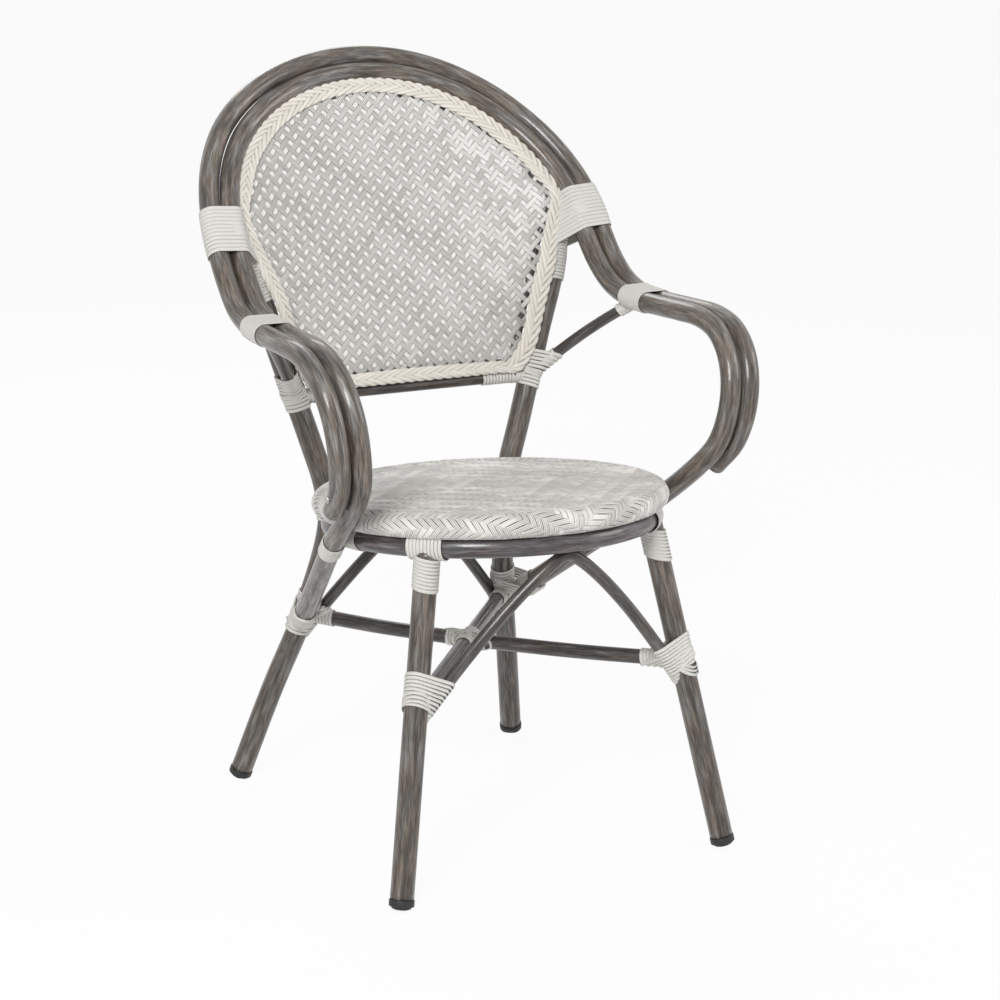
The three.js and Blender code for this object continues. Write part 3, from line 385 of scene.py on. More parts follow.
def outward_at(side, share):
    """Away from the opening, at this share of the way from the top to an arm's end."""
    tangent = heading(hoop_middle, 0.5 + side * share / 2) * side
    in_plane = unit(np.cross(plane_front, tangent) * side)
    sideways = np.array([side, 0, 0]) - tangent * tangent[..., :1] * side
    blend = smooth(share, 0.4, 0.5)
    return unit(in_plane * (1 - blend) + unit(sideways) * blend)


def hoop_point(side, share, offset):
    """A point beside the middle line, this far out from it."""
    return at(hoop_middle, 0.5 + side * share / 2) + outward_at(side, share) * offset


def hoop_points(offset):
    return np.array([hoop_point(1, k / 24, offset) for k in range(25)])


print("hoops' middle line:", round(length_of(hoop_middle)), "mm")

# %% [markdown]
# ## Where the other tubes run
# The rear legs go up past the seat and end behind the hoops. The inner hoop leaves the outer
# one at the arm's end and comes down past the seat ring to the rear leg. Arches, bars, the
# back rail and the side braces then reach from tube to tube.

# %% Routes of the frame


def tilted(x, y, rise):
    """Points given on a level seat, tipped back with the seat and raised to its height."""
    cos, sin = math.cos(-SEAT_TILT), math.sin(-SEAT_TILT)
    return np.stack([x, y * cos - rise * sin, RING_HEIGHT + y * sin + rise * cos], axis=-1)


def on_ring(angle, radius, rise):
    """A point at this angle round the tilted seat ring, this far out and up from it."""
    return tilted(radius * math.cos(angle), radius * math.sin(angle), rise)


def ring_angle(side, degrees):
    """An angle round the ring on the right side, or its mirror image on the left."""
    return math.radians(degrees if side > 0 else 180 - degrees)


def apart(one, other):
    """How far apart the middle lines of two tubes are where the tubes touch."""
    return (one + other) / 2 + CLEARANCE


FRONT_LEG_ANGLE, ARM_ANGLE, UPRIGHT_ANGLE = -39, -6, 55
rim_rise = math.sqrt(apart(RING_TUBE, RIM_TUBE)**2 - (RIM_RADIUS - RING_RADIUS) ** 2)
upright_top = hoop_point(1, 0.366, -HOOP_PITCH / 2) - plane_front * apart(HOOP_TUBE, LEG_TUBE)
waist = on_ring(ring_angle(1, UPRIGHT_ANGLE), RIM_RADIUS + apart(RIM_TUBE, LEG_TUBE), rim_rise)
rear_foot = np.array([203, 297.5, 0])
lower = [waist + (rear_foot - waist) * [x, y, 1 - z]
         for x, y, z in ([0.585, 0.648, 0.309], [0.156, 0.278, 0.606], [-0.079, 0.007, 0.886])]
upper = [waist + (upright_top - waist) * row
         for row in np.array([[0.179, 0.06, 0.181], [0.501, 0.248, 0.488], [0.785, 0.4, 0.768]])]
rear_leg = route([rear_foot, *lower, waist, *upper, upright_top])
front_foot = [220.5, -195.5, 0]
front_leg = route([front_foot, on_ring(ring_angle(1, FRONT_LEG_ANGLE), RING_RADIUS, 0)], per_span=60)

hoop_pass = on_ring(ring_angle(1, ARM_ANGLE), RING_RADIUS + 1.15 * apart(RING_TUBE, HOOP_TUBE), 0)
landing = at_height(rear_leg, 235.5)
leg_way = unit(at_height(rear_leg, 240) - at_height(rear_leg, 231))
toward_pass = hoop_pass - landing
hoop_end = landing + square_to(toward_pass, leg_way) * apart(HOOP_TUBE, LEG_TUBE)
inner_half = np.vstack([hoop_points(-HOOP_PITCH / 2), hoop_pass, (hoop_pass + hoop_end) / 2, hoop_end])
outer_half = hoop_points(HOOP_PITCH / 2)
inner_hoop = both_halves(inner_half)
outer_hoop = both_halves(outer_half)
past_ends = [outer_hoop[k] + unit(outer_hoop[k] - outer_hoop[k + step]) * 5
             for k, step in ((0, 1), (-1, -1))]
outer_hoop = np.vstack([past_ends[0], outer_hoop, past_ends[1]])


def arch(leg, height, setback, front, seat_angle, bend):
    """From leg to leg, up to the underside of the seat ring."""
    top = on_ring(-front * math.pi / 2, RING_RADIUS, 0)
    below = apart(RING_TUBE, ARCH_TUBE)
    top += [0, front * below * math.sin(seat_angle), -below * math.cos(seat_angle)]
    foot = at_height(leg, height) + [0, setback, 0]
    half = []
    for share in (0, 0.1, 0.25, 0.45, 0.65, 0.85, 1):
        point = top + (foot - top) * share**bend
        half.append([foot[0] * share, point[1], point[2]])
    return both_halves(np.array(half))


front_arch = arch(front_leg, height=194, setback=8, front=1, seat_angle=math.radians(30.5), bend=1.28)
rear_arch = arch(rear_leg, height=190, setback=-4, front=-1, seat_angle=math.radians(5), bend=1.26)
# The through bar goes from the left front leg to the right rear one, and two halves butt on it.
through_front, through_rear = flipped(at_height(front_leg, 223.7)), at_height(rear_leg, 222.6)
half_front, half_rear = at_height(front_leg, 229.6), flipped(at_height(rear_leg, 232.5))
crossing_share = through_front[0] / (through_front[0] - through_rear[0])
crossing = through_front + (through_rear - through_front) * crossing_share
through_bar = route([through_front, through_rear], per_span=60)
front_bar = route([half_front, (half_front + crossing) / 2 - [0, 0, 2], crossing])
rear_bar = route([half_rear, (half_rear + crossing) / 2 - [0, 0, 2], crossing])
rail_end = at_height(rear_leg, 517)
back_rail = route([flipped(rail_end), rail_end], per_span=60)
brace_start = at_height(rear_leg, 514)
brace_end = hoop_point(1, 0.577, -HOOP_PITCH / 2) - [0, 0, apart(HOOP_TUBE, BRACE_TUBE)]
bend = (brace_start + brace_end) / 2 + [0, 0, 10]
curve = np.linspace(0, 1, 30)[:, None]
side_brace = (1 - curve) ** 2 * brace_start + 2 * curve * (1 - curve) * bend + curve**2 * brace_end
side_brace = np.vstack([side_brace, brace_end + unit(brace_end - bend) * 15])
seat_ring = np.array([on_ring(angle, RING_RADIUS, 0) for angle in np.linspace(0, 2 * math.pi, 97)])
print("inner hoop:", round(length_of(inner_hoop)), "mm, rear leg:", round(length_of(rear_leg)), "mm")

# %% [markdown]
# ## From a flat grid to a tube or a strand
# Tubes, bands and strands are all a section carried along a line. A flat grid, one strip for
# each line, is laid out by an operator. Each of its points is then moved to its place round
# the line, the two long edges are merged, and the ends are filled. Fast and easy to check.

# %% Sweep


def frames_along(line):
    """Two directions square to the line at each point, turned as little as possible."""
    tangents = unit(np.gradient(line, axis=0))
    side = np.array([0.3, 0.2, 0.93])
    sides = []
    for tangent in tangents:
        side = side - tangent * (side @ tangent)
        side /= np.linalg.norm(side)
        sides.append(side)
    sides = np.array(sides)
    return sides, np.cross(tangents, sides)


def closed_tangents(line):
    """Directions along a line whose last point is its first."""
    return unit(np.vstack([line[1] - line[-2], line[2:] - line[:-2], line[1] - line[-2]]))


def round_section(diameter, sides):
    angles = np.linspace(0, 2 * math.pi, sides + 1)
    return np.stack([np.cos(angles), np.sin(angles)], axis=1) * diameter / 2


def mesh_from(bm, name):
    """A new mesh with what was built. The builder itself is let go."""
    mesh = bpy.data.meshes.new(name)
    bm.to_mesh(mesh)
    bm.free()
    return mesh


def sweep(name, strips, section, material, stands_for):
    """One piece from several strips. A strip is (line, width direction, height direction, tone)."""
    bm = bmesh.new()
    for index, (line, _, _, _) in enumerate(strips):
        bmesh.ops.create_grid(bm, x_segments=len(line) - 1, y_segments=len(section) - 1, size=0.5,
                              matrix=Matrix.Translation((0, 0, index)))
    mesh = mesh_from(bm, name)
    flat = np.empty(len(mesh.vertices) * 3)
    mesh.vertices.foreach_get("co", flat)
    flat = flat.reshape(-1, 3)
    strip = np.rint(flat[:, 2]).astype(int)
    counts = np.array([len(s[0]) for s in strips])
    starts = np.concatenate([[0], np.cumsum(counts)[:-1]])
    row = starts[strip] + np.rint((flat[:, 0] + 0.5) * (counts[strip] - 1)).astype(int)
    column = np.rint((flat[:, 1] + 0.5) * (len(section) - 1)).astype(int)
    lines, wides, highs = (np.vstack([s[k] for s in strips]) for k in range(3))
    places = lines[row] + wides[row] * section[column, :1] + highs[row] * section[column, 1:]
    places = (places + [0, SEAT_Y, 0]) / 1000
    mesh.vertices.foreach_set("co", places.ravel())
    lengths = np.array([length_of(s[0]) for s in strips]) / 1000
    corner = np.empty(len(mesh.loops), int)
    mesh.loops.foreach_get("vertex_index", corner)
    uv = np.stack([(flat[corner, 0] + 0.5) * lengths[strip[corner]], flat[corner, 1] + 0.5], axis=1)
    mesh.uv_layers.new(name="UVMap").data.foreach_set("uv", uv.ravel())
    tones = np.concatenate([np.broadcast_to(s[3], len(s[0])) for s in strips])[row]
    mesh.attributes.new("tone", "FLOAT", "POINT").data.foreach_set("value", tones)
    return finished(name, mesh, material, stands_for)


def finished(name, mesh, material, stands_for):
    """Closes the mesh, turns its faces outwards and makes it a piece of the chair."""
    bm = bmesh.new()
    bm.from_mesh(mesh)
    bmesh.ops.remove_doubles(bm, verts=bm.verts, dist=2e-7)
    open_edges = [e for e in bm.edges if e.is_boundary]
    bmesh.ops.holes_fill(bm, edges=open_edges, sides=0)
    bmesh.ops.recalc_face_normals(bm, faces=bm.faces)
    bm.to_mesh(mesh)
    bm.free()
    mesh.shade_smooth()
    mesh.materials.append(material)
    piece = add_object(name, mesh)
    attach(piece, "root")
    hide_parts(*stands_for)
    print(f"{name}: {len(mesh.polygons)} faces")
    return piece


# %% [markdown]
# ## The tubes
# Each tube is one strip with a round section of 24 sides, which is smooth at any distance
# from which a chair is seen. The thin ones make do with 20. Where one tube meets another, it
# simply stops inside the binding, as the real ones are welded there out of sight.

# %% Tubes


SMOOTH_SIDES, WELD_TRIM, ARCH_TRIM, CAP_TRIM, BAR_TRIM = 24, 14, 16, 12.3, 9.5


def add_tube(name, line, diameter, material, stands_for, trim):
    """A painted tube. Trim is how much of each end is left off, in millimetres."""
    length = length_of(line)
    ends = trim[0] / length, 1 - trim[1] / length
    part = at(line, np.linspace(*ends, max(3, round(length / 7))))
    section = round_section(diameter, SMOOTH_SIDES if diameter > 20 else 20)
    return sweep(name, [(part, *frames_along(part), 0)], section, material, [stands_for])


def closed_strip(line):
    """A strip whose last point is its first, with frames that meet there too."""
    tangents = closed_tangents(line)
    upright = unit(np.cross(tangents, np.cross([0, 0, 1], tangents)))
    return line, upright, np.cross(tangents, upright), 0


add_tube("outer_tube", outer_hoop, HOOP_TUBE, hoop_paint, "outer_hoop", (0, 0))
add_tube("inner_tube", inner_hoop, HOOP_TUBE, hoop_paint, "inner_hoop", (0, 0))
sweep("ring_tube", [closed_strip(seat_ring)], round_section(RING_TUBE, SMOOTH_SIDES), ring_paint_shaded,
      ["seat_ring"])
for name, side in BOTH_SIDES:
    rear, front, brace = on_side(side, rear_leg, front_leg, side_brace)
    add_tube(f"rear_tube_{name}", rear, LEG_TUBE, leg_paint_shaded, f"rear_leg_{name}", (CAP_TRIM, 0))
    add_tube(f"front_tube_{name}", front, LEG_TUBE, leg_paint_shaded, f"front_leg_{name}", (CAP_TRIM, 5))
    add_tube(f"brace_tube_{name}", brace, BRACE_TUBE, bar_paint_shaded, f"side_brace_{name}", (WELD_TRIM, 0))
for name, line, diameter, stands_for, trim in (
        ("rail_tube", back_rail, RAIL_TUBE, "back_rail", (WELD_TRIM, WELD_TRIM)),
        ("front_arch_tube", front_arch, ARCH_TUBE, "front_arch", (ARCH_TRIM, ARCH_TRIM)),
        ("rear_arch_tube", rear_arch, ARCH_TUBE, "rear_arch", (ARCH_TRIM, ARCH_TRIM)),
        ("through_tube", through_bar, BAR_TUBE, "cross_bar_through", (WELD_TRIM, WELD_TRIM)),
        ("front_half_tube", front_bar, BAR_TUBE, "cross_bar_front_half", (WELD_TRIM, BAR_TRIM)),
        ("rear_half_tube", rear_bar, BAR_TUBE, "cross_bar_rear_half", (WELD_TRIM, BAR_TRIM))):
    add_tube(name, line, diameter, bar_paint_shaded, stands_for, trim)

# %% [markdown]
# ## Feet, end plugs and rivets
# These are turned shapes: a profile of a few points spun once round an axis. Bevelled edges
# catch the light as moulded ones do. Each is spun upright at the origin, then a matrix stands
# it on its tube.

# %% Turned pieces


def turned(name, profile, place_mm, direction, material, stands_for):
    """Spins a profile of (radius, height) in millimetres and stands it at a place.

    Whatever would be below the floor is cut off, so that each foot stands on a flat.
    """
    bm = bmesh.new()
    points = [bm.verts.new((radius, 0, height)) for radius, height in profile]
    edges = [bm.edges.new(pair) for pair in zip(points, points[1:])]
    bmesh.ops.spin(bm, geom=points + edges, cent=(0, 0, 0), axis=(0, 0, 1),
                   angle=2 * math.pi, steps=32, use_merge=True)
    bmesh.ops.remove_doubles(bm, verts=bm.verts, dist=0.001)
    stand = Vector(direction).to_track_quat("Z", "Y").to_matrix().to_4x4()
    shift = Matrix.Translation(Vector(np.array(place_mm) + [0, SEAT_Y, 0]))
    bmesh.ops.transform(bm, matrix=Matrix.Scale(0.001, 4) @ shift @ stand, verts=bm.verts)
    bmesh.ops.bisect_plane(bm, geom=bm.verts[:] + bm.edges[:] + bm.faces[:], dist=1e-6,
                           plane_co=(0, 0, 0), plane_no=(0, 0, 1), clear_inner=True)
    return finished(name, mesh_from(bm, name), material, [stands_for])


def rounded(profile, radius):
    """The profile with each inner corner rounded off by this radius."""
    out = [profile[0]]
    for before, corner, after in zip(profile, profile[1:], profile[2:]):
        before, corner, after = (np.array(p, float) for p in (before, corner, after))
        reach = min(radius, np.linalg.norm(before - corner) / 2, np.linalg.norm(after - corner) / 2)
        start = corner + unit(before - corner) * reach
        end = corner + unit(after - corner) * reach
        for s in np.linspace(0, 1, 4):
            out.append(tuple((1 - s) ** 2 * start + 2 * s * (1 - s) * corner + s * s * end))
    out.append(profile[-1])
    return out


cap = rounded([(0, 0.2), (7.5, 0.2), (11.4, 1.8), (11.8, 4), (14.8, 4.4), (14.8, 12), (0, 12)], 0.7)
plug = rounded([(0, 0.2), (12.2, 0.2), (12, 2.2), (8.6, 5.6), (0, 6.6)], 2.4)
rivet = rounded([(0, -0.6), (4.5, -0.6), (4.2, 0.6), (2.6, 2.1), (0, 2.5)], 0.6)
RIVET_SHARE = 0.975
for name, side in BOTH_SIDES:
    for row, leg in (("front", front_leg), ("rear", rear_leg)):
        line = leg * [side, 1, 1]
        turned(f"foot_{row}_{name}", cap, line[0], unit(line[2] - line[0]), foot_plastic,
               f"foot_cap_{row}_{name}")
    end, before = (outer_hoop[-1], outer_hoop[-3]) if side > 0 else (outer_hoop[0], outer_hoop[2])
    turned(f"end_plug_{name}", plug, end, unit(end - before), hoop_paint,
           f"hoop_plug_{name}")
    seat = hoop_point(side, RIVET_SHARE, HOOP_PITCH / 2 + HOOP_TUBE / 2 + 0.1)
    turned(f"rivet_{name}", rivet, seat, outward_at(side, RIVET_SHARE), rivet_metal,
           f"hoop_rivet_{name}")

# %% [markdown]
# ## How the back is woven
# Flat ribbed bands run at 45 degrees both ways, 6.6 mm apart. Odd bands pass over three and
# under one, even bands over one and under three. That gives the long dashes with a small
# square between them. We weave in a flat sheet first: each band is a straight strip whose
# height follows the pattern, and the sheet is then laid on the curved back.

# %% Weaving helpers
BAND_PITCH, BAND_WIDTH, BAND_THICKNESS, WAVE = 6.6, 6.5, 1.1, 0.62


def band_section(width, thickness):
    """A closed section with three ribs on its upper side."""
    across = np.array([-1, -0.67, -0.33, 0, 0.33, 0.67, 1, 0, -1]) * width / 2
    height = np.array([-0.25, 0.5, 0.36, 0.55, 0.36, 0.5, -0.25, -0.5, -0.25]) * thickness
    return np.stack([across, height], axis=1)


def back_pattern(rising, falling):
    """+1 where the rising band is on top, else -1, from the two bands' numbers."""
    odd_rising, odd_falling = rising % 2 == 1, falling % 2 == 1
    turn_about = (rising // 2 + falling // 2) % 2 == 0
    top = np.where(odd_rising & ~odd_falling, True, np.where(~odd_rising & odd_falling, False, turn_about))
    return np.where(top, 1.0, -1.0)


def woven(inside, reach, angle, family, pattern, surface, tone_of, steps=3):
    """Strips for one family of parallel bands. Inside says which flat points are in the sheet.

    The family is 1 or -1, and the pattern takes the rising band's number first.
    """
    way = np.array([math.cos(angle), math.sin(angle)])
    aside = np.array([-way[1], way[0]])
    count = int(reach / BAND_PITCH)
    strips = []
    for band in range(-count, count + 1):
        places = np.arange(-count * steps, count * steps + 1) / steps
        flat = aside * band * BAND_PITCH + way * places[:, None] * BAND_PITCH
        kept = np.flatnonzero(inside(flat, band))
        if len(kept) < 6:
            continue
        places, flat = places[kept[0]:kept[-1] + 1], flat[kept[0]:kept[-1] + 1]
        before = np.floor(places).astype(int)
        part = places - before
        first, last = (pattern(band, n) if family > 0 else -pattern(-n, band)
                       for n in (before, before + 1))
        ease = smooth(part, 0, 1)
        height = WAVE * (first * (1 - ease) + last * ease)
        point, normal = surface(flat)
        ahead, _ = surface(flat + way * 0.5)
        forward = ahead - point
        forward = unit(forward - normal * (forward * normal).sum(1, keepdims=True))
        tones = tone_of(band, places, flat)
        strips.append((point + normal * height[:, None], np.cross(normal, forward), normal, tones))
    return strips


# %% [markdown]
# ## The border of the back
# The weave meets the inner hoop above, the uprights at the sides and the rail below. A plait
# covers the edge. On the hoop it starts on the tube's inner side, and on the uprights on
# their front. Both lines are found from the tubes' routes. They are then tucked a few
# millimetres in or out, because the photographed plait doesn't follow the tubes exactly. A
# thin dark rod runs behind the plait, and the last strands of the weave are tied to it. Seen
# through the small holes at the border, its dark paint also stands in for the shade there.

# %% Border lines
PANEL_LEAN = math.radians(19.3)
panel_front = np.array([0, -math.cos(PANEL_LEAN), math.sin(PANEL_LEAN)])


def winding_cover(diameter, steps):
    """How far a winding stands out from its tube, where its turns are polygons of this many steps."""
    return (diameter / 2 + 1.4) / math.cos(math.pi / steps) + 1.5 - diameter / 2


def border_station(axis, front, inward, reach, tuck=0.0, wrap=42, setback=0.0):
    """The weave's edge beside a tube, and the plait's start on it. Tuck moves both inward."""
    wrap = math.radians(wrap)
    start = axis + front * reach * math.cos(wrap) + inward * (reach * math.sin(wrap) + tuck)
    return axis + inward * (reach + tuck) - front * setback, start


HOOP_SHARES, HOOP_TUCKS = (0, 0.05, 0.1, 0.15, 0.2, 0.25, 0.3, 0.345, 0.385), (0, 0, 0, 1, 2, 3, 1, -3, -7)
LEG_HEIGHTS, LEG_TUCKS = (676, 655, 624, 585, 546), (-8, -6, -3, -3, -2)
RAIL_SHARES, RAIL_COVER, EDGE_GAP = (0.85, 0.72, 0.36, 0), 3.1, 1.1
stations = []
for share, tuck in zip(HOOP_SHARES, HOOP_TUCKS):
    cover = (winding_cover(HOOP_TUBE, 12) + HOOP_PITCH - HOOP_TUBE) * smooth(share, 0.28, 0.35)
    stations.append(border_station(
        hoop_point(1, share, -HOOP_PITCH / 2), plane_front, -outward_at(1, share),
        HOOP_TUBE / 2 + EDGE_GAP + cover, tuck, wrap=80, setback=3))
for height, tuck in zip(LEG_HEIGHTS, LEG_TUCKS):
    spot, above, below = (at_height(rear_leg, height + step) for step in (0, 4, -4))
    tangent = unit(above - below)
    cover = winding_cover(LEG_TUBE, 8) + (height - LEG_HEIGHTS[-1]) / 52
    stations.append(border_station(spot, square_to([0, -1, 0], tangent), square_to([-1, 0, 0], tangent),
                                   LEG_TUBE / 2 + EDGE_GAP + cover, tuck))
for share in RAIL_SHARES:
    stations.append(border_station(rail_end * [share, 1, 1], np.array([0, -1, 0]), np.array([0, 0, 1]),
                                   RAIL_TUBE / 2 + EDGE_GAP + RAIL_COVER))
edge_line, over_line = (route(np.vstack([half, flipped(half[-2:0:-1])]), closed=True)
                        for half in (np.array([s[k] for s in stations]) for k in (0, 1)))
panel_top, panel_bottom = edge_line[0], at(edge_line, 0.5)
panel_centre = (panel_top[2] + panel_bottom[2]) / 2


def toward_centre(line):
    """Directions from a line on the border to the middle of the panel, seen from the front."""
    return unit(np.stack([-line[:, 0], 0 * line[:, 0], panel_centre - line[:, 2]], axis=1))


print("border:", round(length_of(edge_line)), "mm round")

# %% [markdown]
# ## The curved back
# The back is hollow like a shallow spoon: its middle line falls away as it rises, and each
# row curves forward to the frame. A flat point is first raised along that middle line, then
# moved forward by how near the border it is. Its normal comes from two small steps.

# %% Surface of the back


def middle_depth(height):
    """How far back the panel's middle line is at this height."""
    rise = np.clip((height - panel_bottom[2]) / (panel_top[2] - panel_bottom[2]), 0, 1)
    return panel_bottom[1] + (panel_top[1] - panel_bottom[1]) * rise**1.4


edge_angle = np.unwrap(np.arctan2(edge_line[:, 0], edge_line[:, 2] - panel_centre))
edge_reach = np.hypot(edge_line[:, 0], edge_line[:, 2] - panel_centre)
edge_forward = edge_line[:, 1] - middle_depth(edge_line[:, 2])
heights = np.linspace(panel_bottom[2] - 12, panel_top[2] + 12, 400)
climb = np.concatenate([[0], np.cumsum(np.hypot(np.diff(heights), np.diff(middle_depth(heights))))])
climb -= np.interp(panel_centre, heights, climb)


def share_of_border(x, z):
    """How far a point is from the middle to the border, and the forward curve there."""
    angle = np.mod(np.arctan2(x, z - panel_centre), 2 * math.pi)
    reach = np.interp(angle, edge_angle, edge_reach)
    return np.hypot(x, z - panel_centre) / reach, np.interp(angle, edge_angle, edge_forward)


def back_place(flat):
    """Where flat points lie on the back."""
    x, z = flat[:, 0], np.interp(flat[:, 1], climb, heights)
    share, forward = share_of_border(x, z)
    return np.stack([x, middle_depth(z) + forward * np.minimum(share, 1.04) ** 2, z], axis=1)


def laid_on_back(line):
    """The line moved forwards or backwards until it lies on the back's surface."""
    share, forward = share_of_border(line[:, 0], line[:, 2])
    return np.stack([line[:, 0], middle_depth(line[:, 2]) + forward * share**2, line[:, 2]], axis=1)


def with_normal(place_of):
    """A function that gives the places of flat points, and the normals there."""
    step = 0.4

    def surface(flat):
        here = place_of(flat)
        aside = place_of(flat + [step, 0]) - place_of(flat - [step, 0])
        ahead = place_of(flat + [0, step]) - place_of(flat - [0, step])
        return here, unit(np.cross(aside, ahead))
    return surface


def inside_back(flat, band):
    """Every second band is tied off before the border, which leaves the small holes there."""
    z = np.interp(flat[:, 1], climb, heights)
    share, _ = share_of_border(flat[:, 0], z)
    return share < (0.985 if band % 2 else 0.915)


def speckle(band, other, seed):
    """A number from 0 to 1 that looks random, from two whole numbers."""
    return np.mod(np.sin(band * 12.9898 + other * 78.233 + seed) * 43758.5453, 1)


def back_tones_and_painted_shade(band, places, flat, family):
    """Squares stay pale. A dash has its own grey, darker in two slanting zones, and greyer to the left as
    painted shade.
    """
    if band % 2 == 0:
        return 0.04 * speckle(band, 0, 1.0)
    hidden = 1 + 2 * ((band // 2 + 1) % 2) if family > 0 else -1 - 2 * (band // 2 % 2)
    dash = np.floor((places - hidden) / 4)
    slant = (flat[:, 0] + flat[:, 1]) / math.sqrt(2)
    zones = 0.3 * np.exp(-((slant - 18) / 24) ** 2) + 0.22 * np.exp(-((slant + 66) / 30) ** 2)
    own = 0.5 * speckle(band, dash, family) ** 3 + 0.2 * speckle(band, 0, family)
    # The last term makes the dashes greyer towards the left: painted shade.
    return np.clip(0.2 + zones + own - 0.0012 * flat[:, 0], 0, 1)


for name, angle, family in (("rising", math.pi / 4, 1), ("falling", -math.pi / 4, -1)):
    bands = woven(inside_back, 330, angle, family, back_pattern, with_normal(back_place),
                  lambda band, places, flat: back_tones_and_painted_shade(band, places, flat, family))
    sweep(f"back_weave_{name}", bands, band_section(BAND_WIDTH, BAND_THICKNESS), back_weave,
          ["back_panel"])

# %% [markdown]
# ## The plaited border
# The border is a flat plait of seven strands. Each strand goes from an edge over three others
# to the middle, then under three to the other edge, which shows as two rows of long chevrons.
# Its swing is a softened triangle wave, and it is above or below the middle by turns. The
# plait is a little narrower along the top and the bottom than where it runs steeply.

# %% Plait
PLAIT_SWING, PLAIT_STEP, PLAIT_COUNT = 9.4, 13.2, 7


def share_of_height(line, low, high):
    """For each point, 0 below the low height and 1 above the high one."""
    return np.interp(line[:, 2], [low, high], [0, 1])[:, None]


def plait_strips():
    """The seven strands, swinging about a line between the border's two lines."""
    turns = round(length_of(edge_line) / (PLAIT_STEP * PLAIT_COUNT))
    share = np.linspace(0, 1, turns * 60 + 1)
    over, edge = at(over_line, share), at(edge_line, share)
    on_hoop = share_of_height(over, 665, 720)
    on_leg = share_of_height(over, 535, 575) * (1 - on_hoop)
    inner = laid_on_back(edge + toward_centre(edge) * 15) + panel_front * (2.4 + on_hoop)
    across = inner - over
    across = unit(across - panel_front * 0.5 * (across @ panel_front)[:, None])
    centre = (over + inner) / 2 + panel_front * (1.4 - 2.4 * on_hoop + 3 * on_leg) - across * 3.0
    ahead = closed_tangents(centre)
    lift = unit(np.cross(across, ahead))
    lift *= np.sign((lift @ panel_front)[:, None])
    swing_size = PLAIT_SWING * np.where(centre[:, 2] > panel_centre, 0.8, 0.74)
    swing_size += (PLAIT_SWING - swing_size) * np.clip(np.abs(ahead[:, 2]) * 1.3, 0, 1)
    strips = []
    for strand in range(PLAIT_COUNT):
        phase = 2 * math.pi * (share * turns + strand / PLAIT_COUNT)
        swing = np.arcsin(0.97 * np.sin(phase)) / math.asin(0.97) * swing_size
        rise = -1.15 * np.clip(2.2 * np.sin(2 * phase), -1, 1)
        line = centre + across * swing[:, None] + lift * rise[:, None]
        wide = unit(np.cross(closed_tangents(line), lift))
        strips.append((line, wide, lift, 0.15 + 0.7 * (strand * 3 % 7) / 7))
    return strips


def strand_section(width, thickness, sides=8):
    """A flattened oval: the section of a thin strand."""
    angles = np.linspace(0, 2 * math.pi, sides + 1)
    cos, sin = np.cos(angles), np.sin(angles)
    return np.stack([np.sign(cos) * abs(cos) ** 0.6 * width / 2,
                     np.sign(sin) * abs(sin) ** 0.8 * thickness / 2], axis=1)


# A dark rod behind the border. Seen through the small holes of the weave, its dark paint stands in for the
# shade there.
BORDER_SHADE_ROD = 10
border_shade_rod_line = laid_on_back(edge_line + toward_centre(edge_line) * 10) - panel_front * 6
border_shade_rod_line[-1] = border_shade_rod_line[0]
sweep("border_rod_and_shade", [closed_strip(border_shade_rod_line)], round_section(BORDER_SHADE_ROD, 12), bar_paint_shaded,
      ["back_braid"])
sweep("plait", plait_strips(), strand_section(5.1, 2.4, 10), braid_strand, ["back_braid"])

# %% [markdown]
# ## The woven seat
# The seat's bands run across and from front to back, over three and under three. The steps
# turn about at the middle, which makes nested diamonds. The sheet is laid over the seat and
# rolled round its rim: the flat distance from the middle becomes the way along the profile.

# %% Seat
deck_top = rim_rise + RIM_TUBE / 2 - 3
rim_turn = np.radians(np.linspace(104, -168, 40))
deck_part, rim_radius = np.linspace(0, 1, 20), RIM_TUBE / 2
profile_r = np.concatenate([(RIM_RADIUS - 16) * deck_part, RIM_RADIUS + rim_radius * np.cos(rim_turn)])
profile_z = np.concatenate([deck_top + 4 * (1 - deck_part**2) + 1.2 * deck_part**6,
                            rim_rise + rim_radius * np.sin(rim_turn)])
profile_way = np.concatenate([[0], np.cumsum(np.hypot(np.diff(profile_r), np.diff(profile_z)))])


def seat_place(flat):
    """Where flat points lie on the seat."""
    way = np.hypot(flat[:, 0], flat[:, 1])
    radius, rise = (np.interp(way, profile_way, profile) for profile in (profile_r, profile_z))
    part = flat / np.maximum(way, 1e-6)[:, None]
    return tilted(part[:, 0] * radius, part[:, 1] * radius, rise)


def inside_seat(flat, band):
    return np.hypot(flat[:, 0], flat[:, 1]) < profile_way[-1] - 2


def diamond_pattern(rising, falling):
    """Over three and under three, turned about at the middle of the seat."""
    return np.where((abs(rising) + abs(falling)) % 6 < 3, 1.0, -1.0)


def seat_tones(band, places, flat, family):
    """Each band has its own tone, and soft patches run slantwise over the seat."""
    patches = np.sin(flat[:, 0] / 19 + family) * np.sin(flat[:, 1] / 23 + 2 * family)
    return np.clip(0.3 + 0.22 * patches + 0.35 * (speckle(band, 3, family) - 0.5), 0, 1)


for name, angle, family in (("across", 0.0, 1), ("lengthways", -math.pi / 2, -1)):
    bands = woven(inside_seat, profile_way[-1], angle, family, diamond_pattern, with_normal(seat_place),
                  lambda band, places, flat: seat_tones(band, places, flat, family), steps=2)
    sweep(f"seat_weave_{name}", bands, band_section(BAND_WIDTH, BAND_THICKNESS), seat_weave,
          ["seat_panel", "seat_rim"])

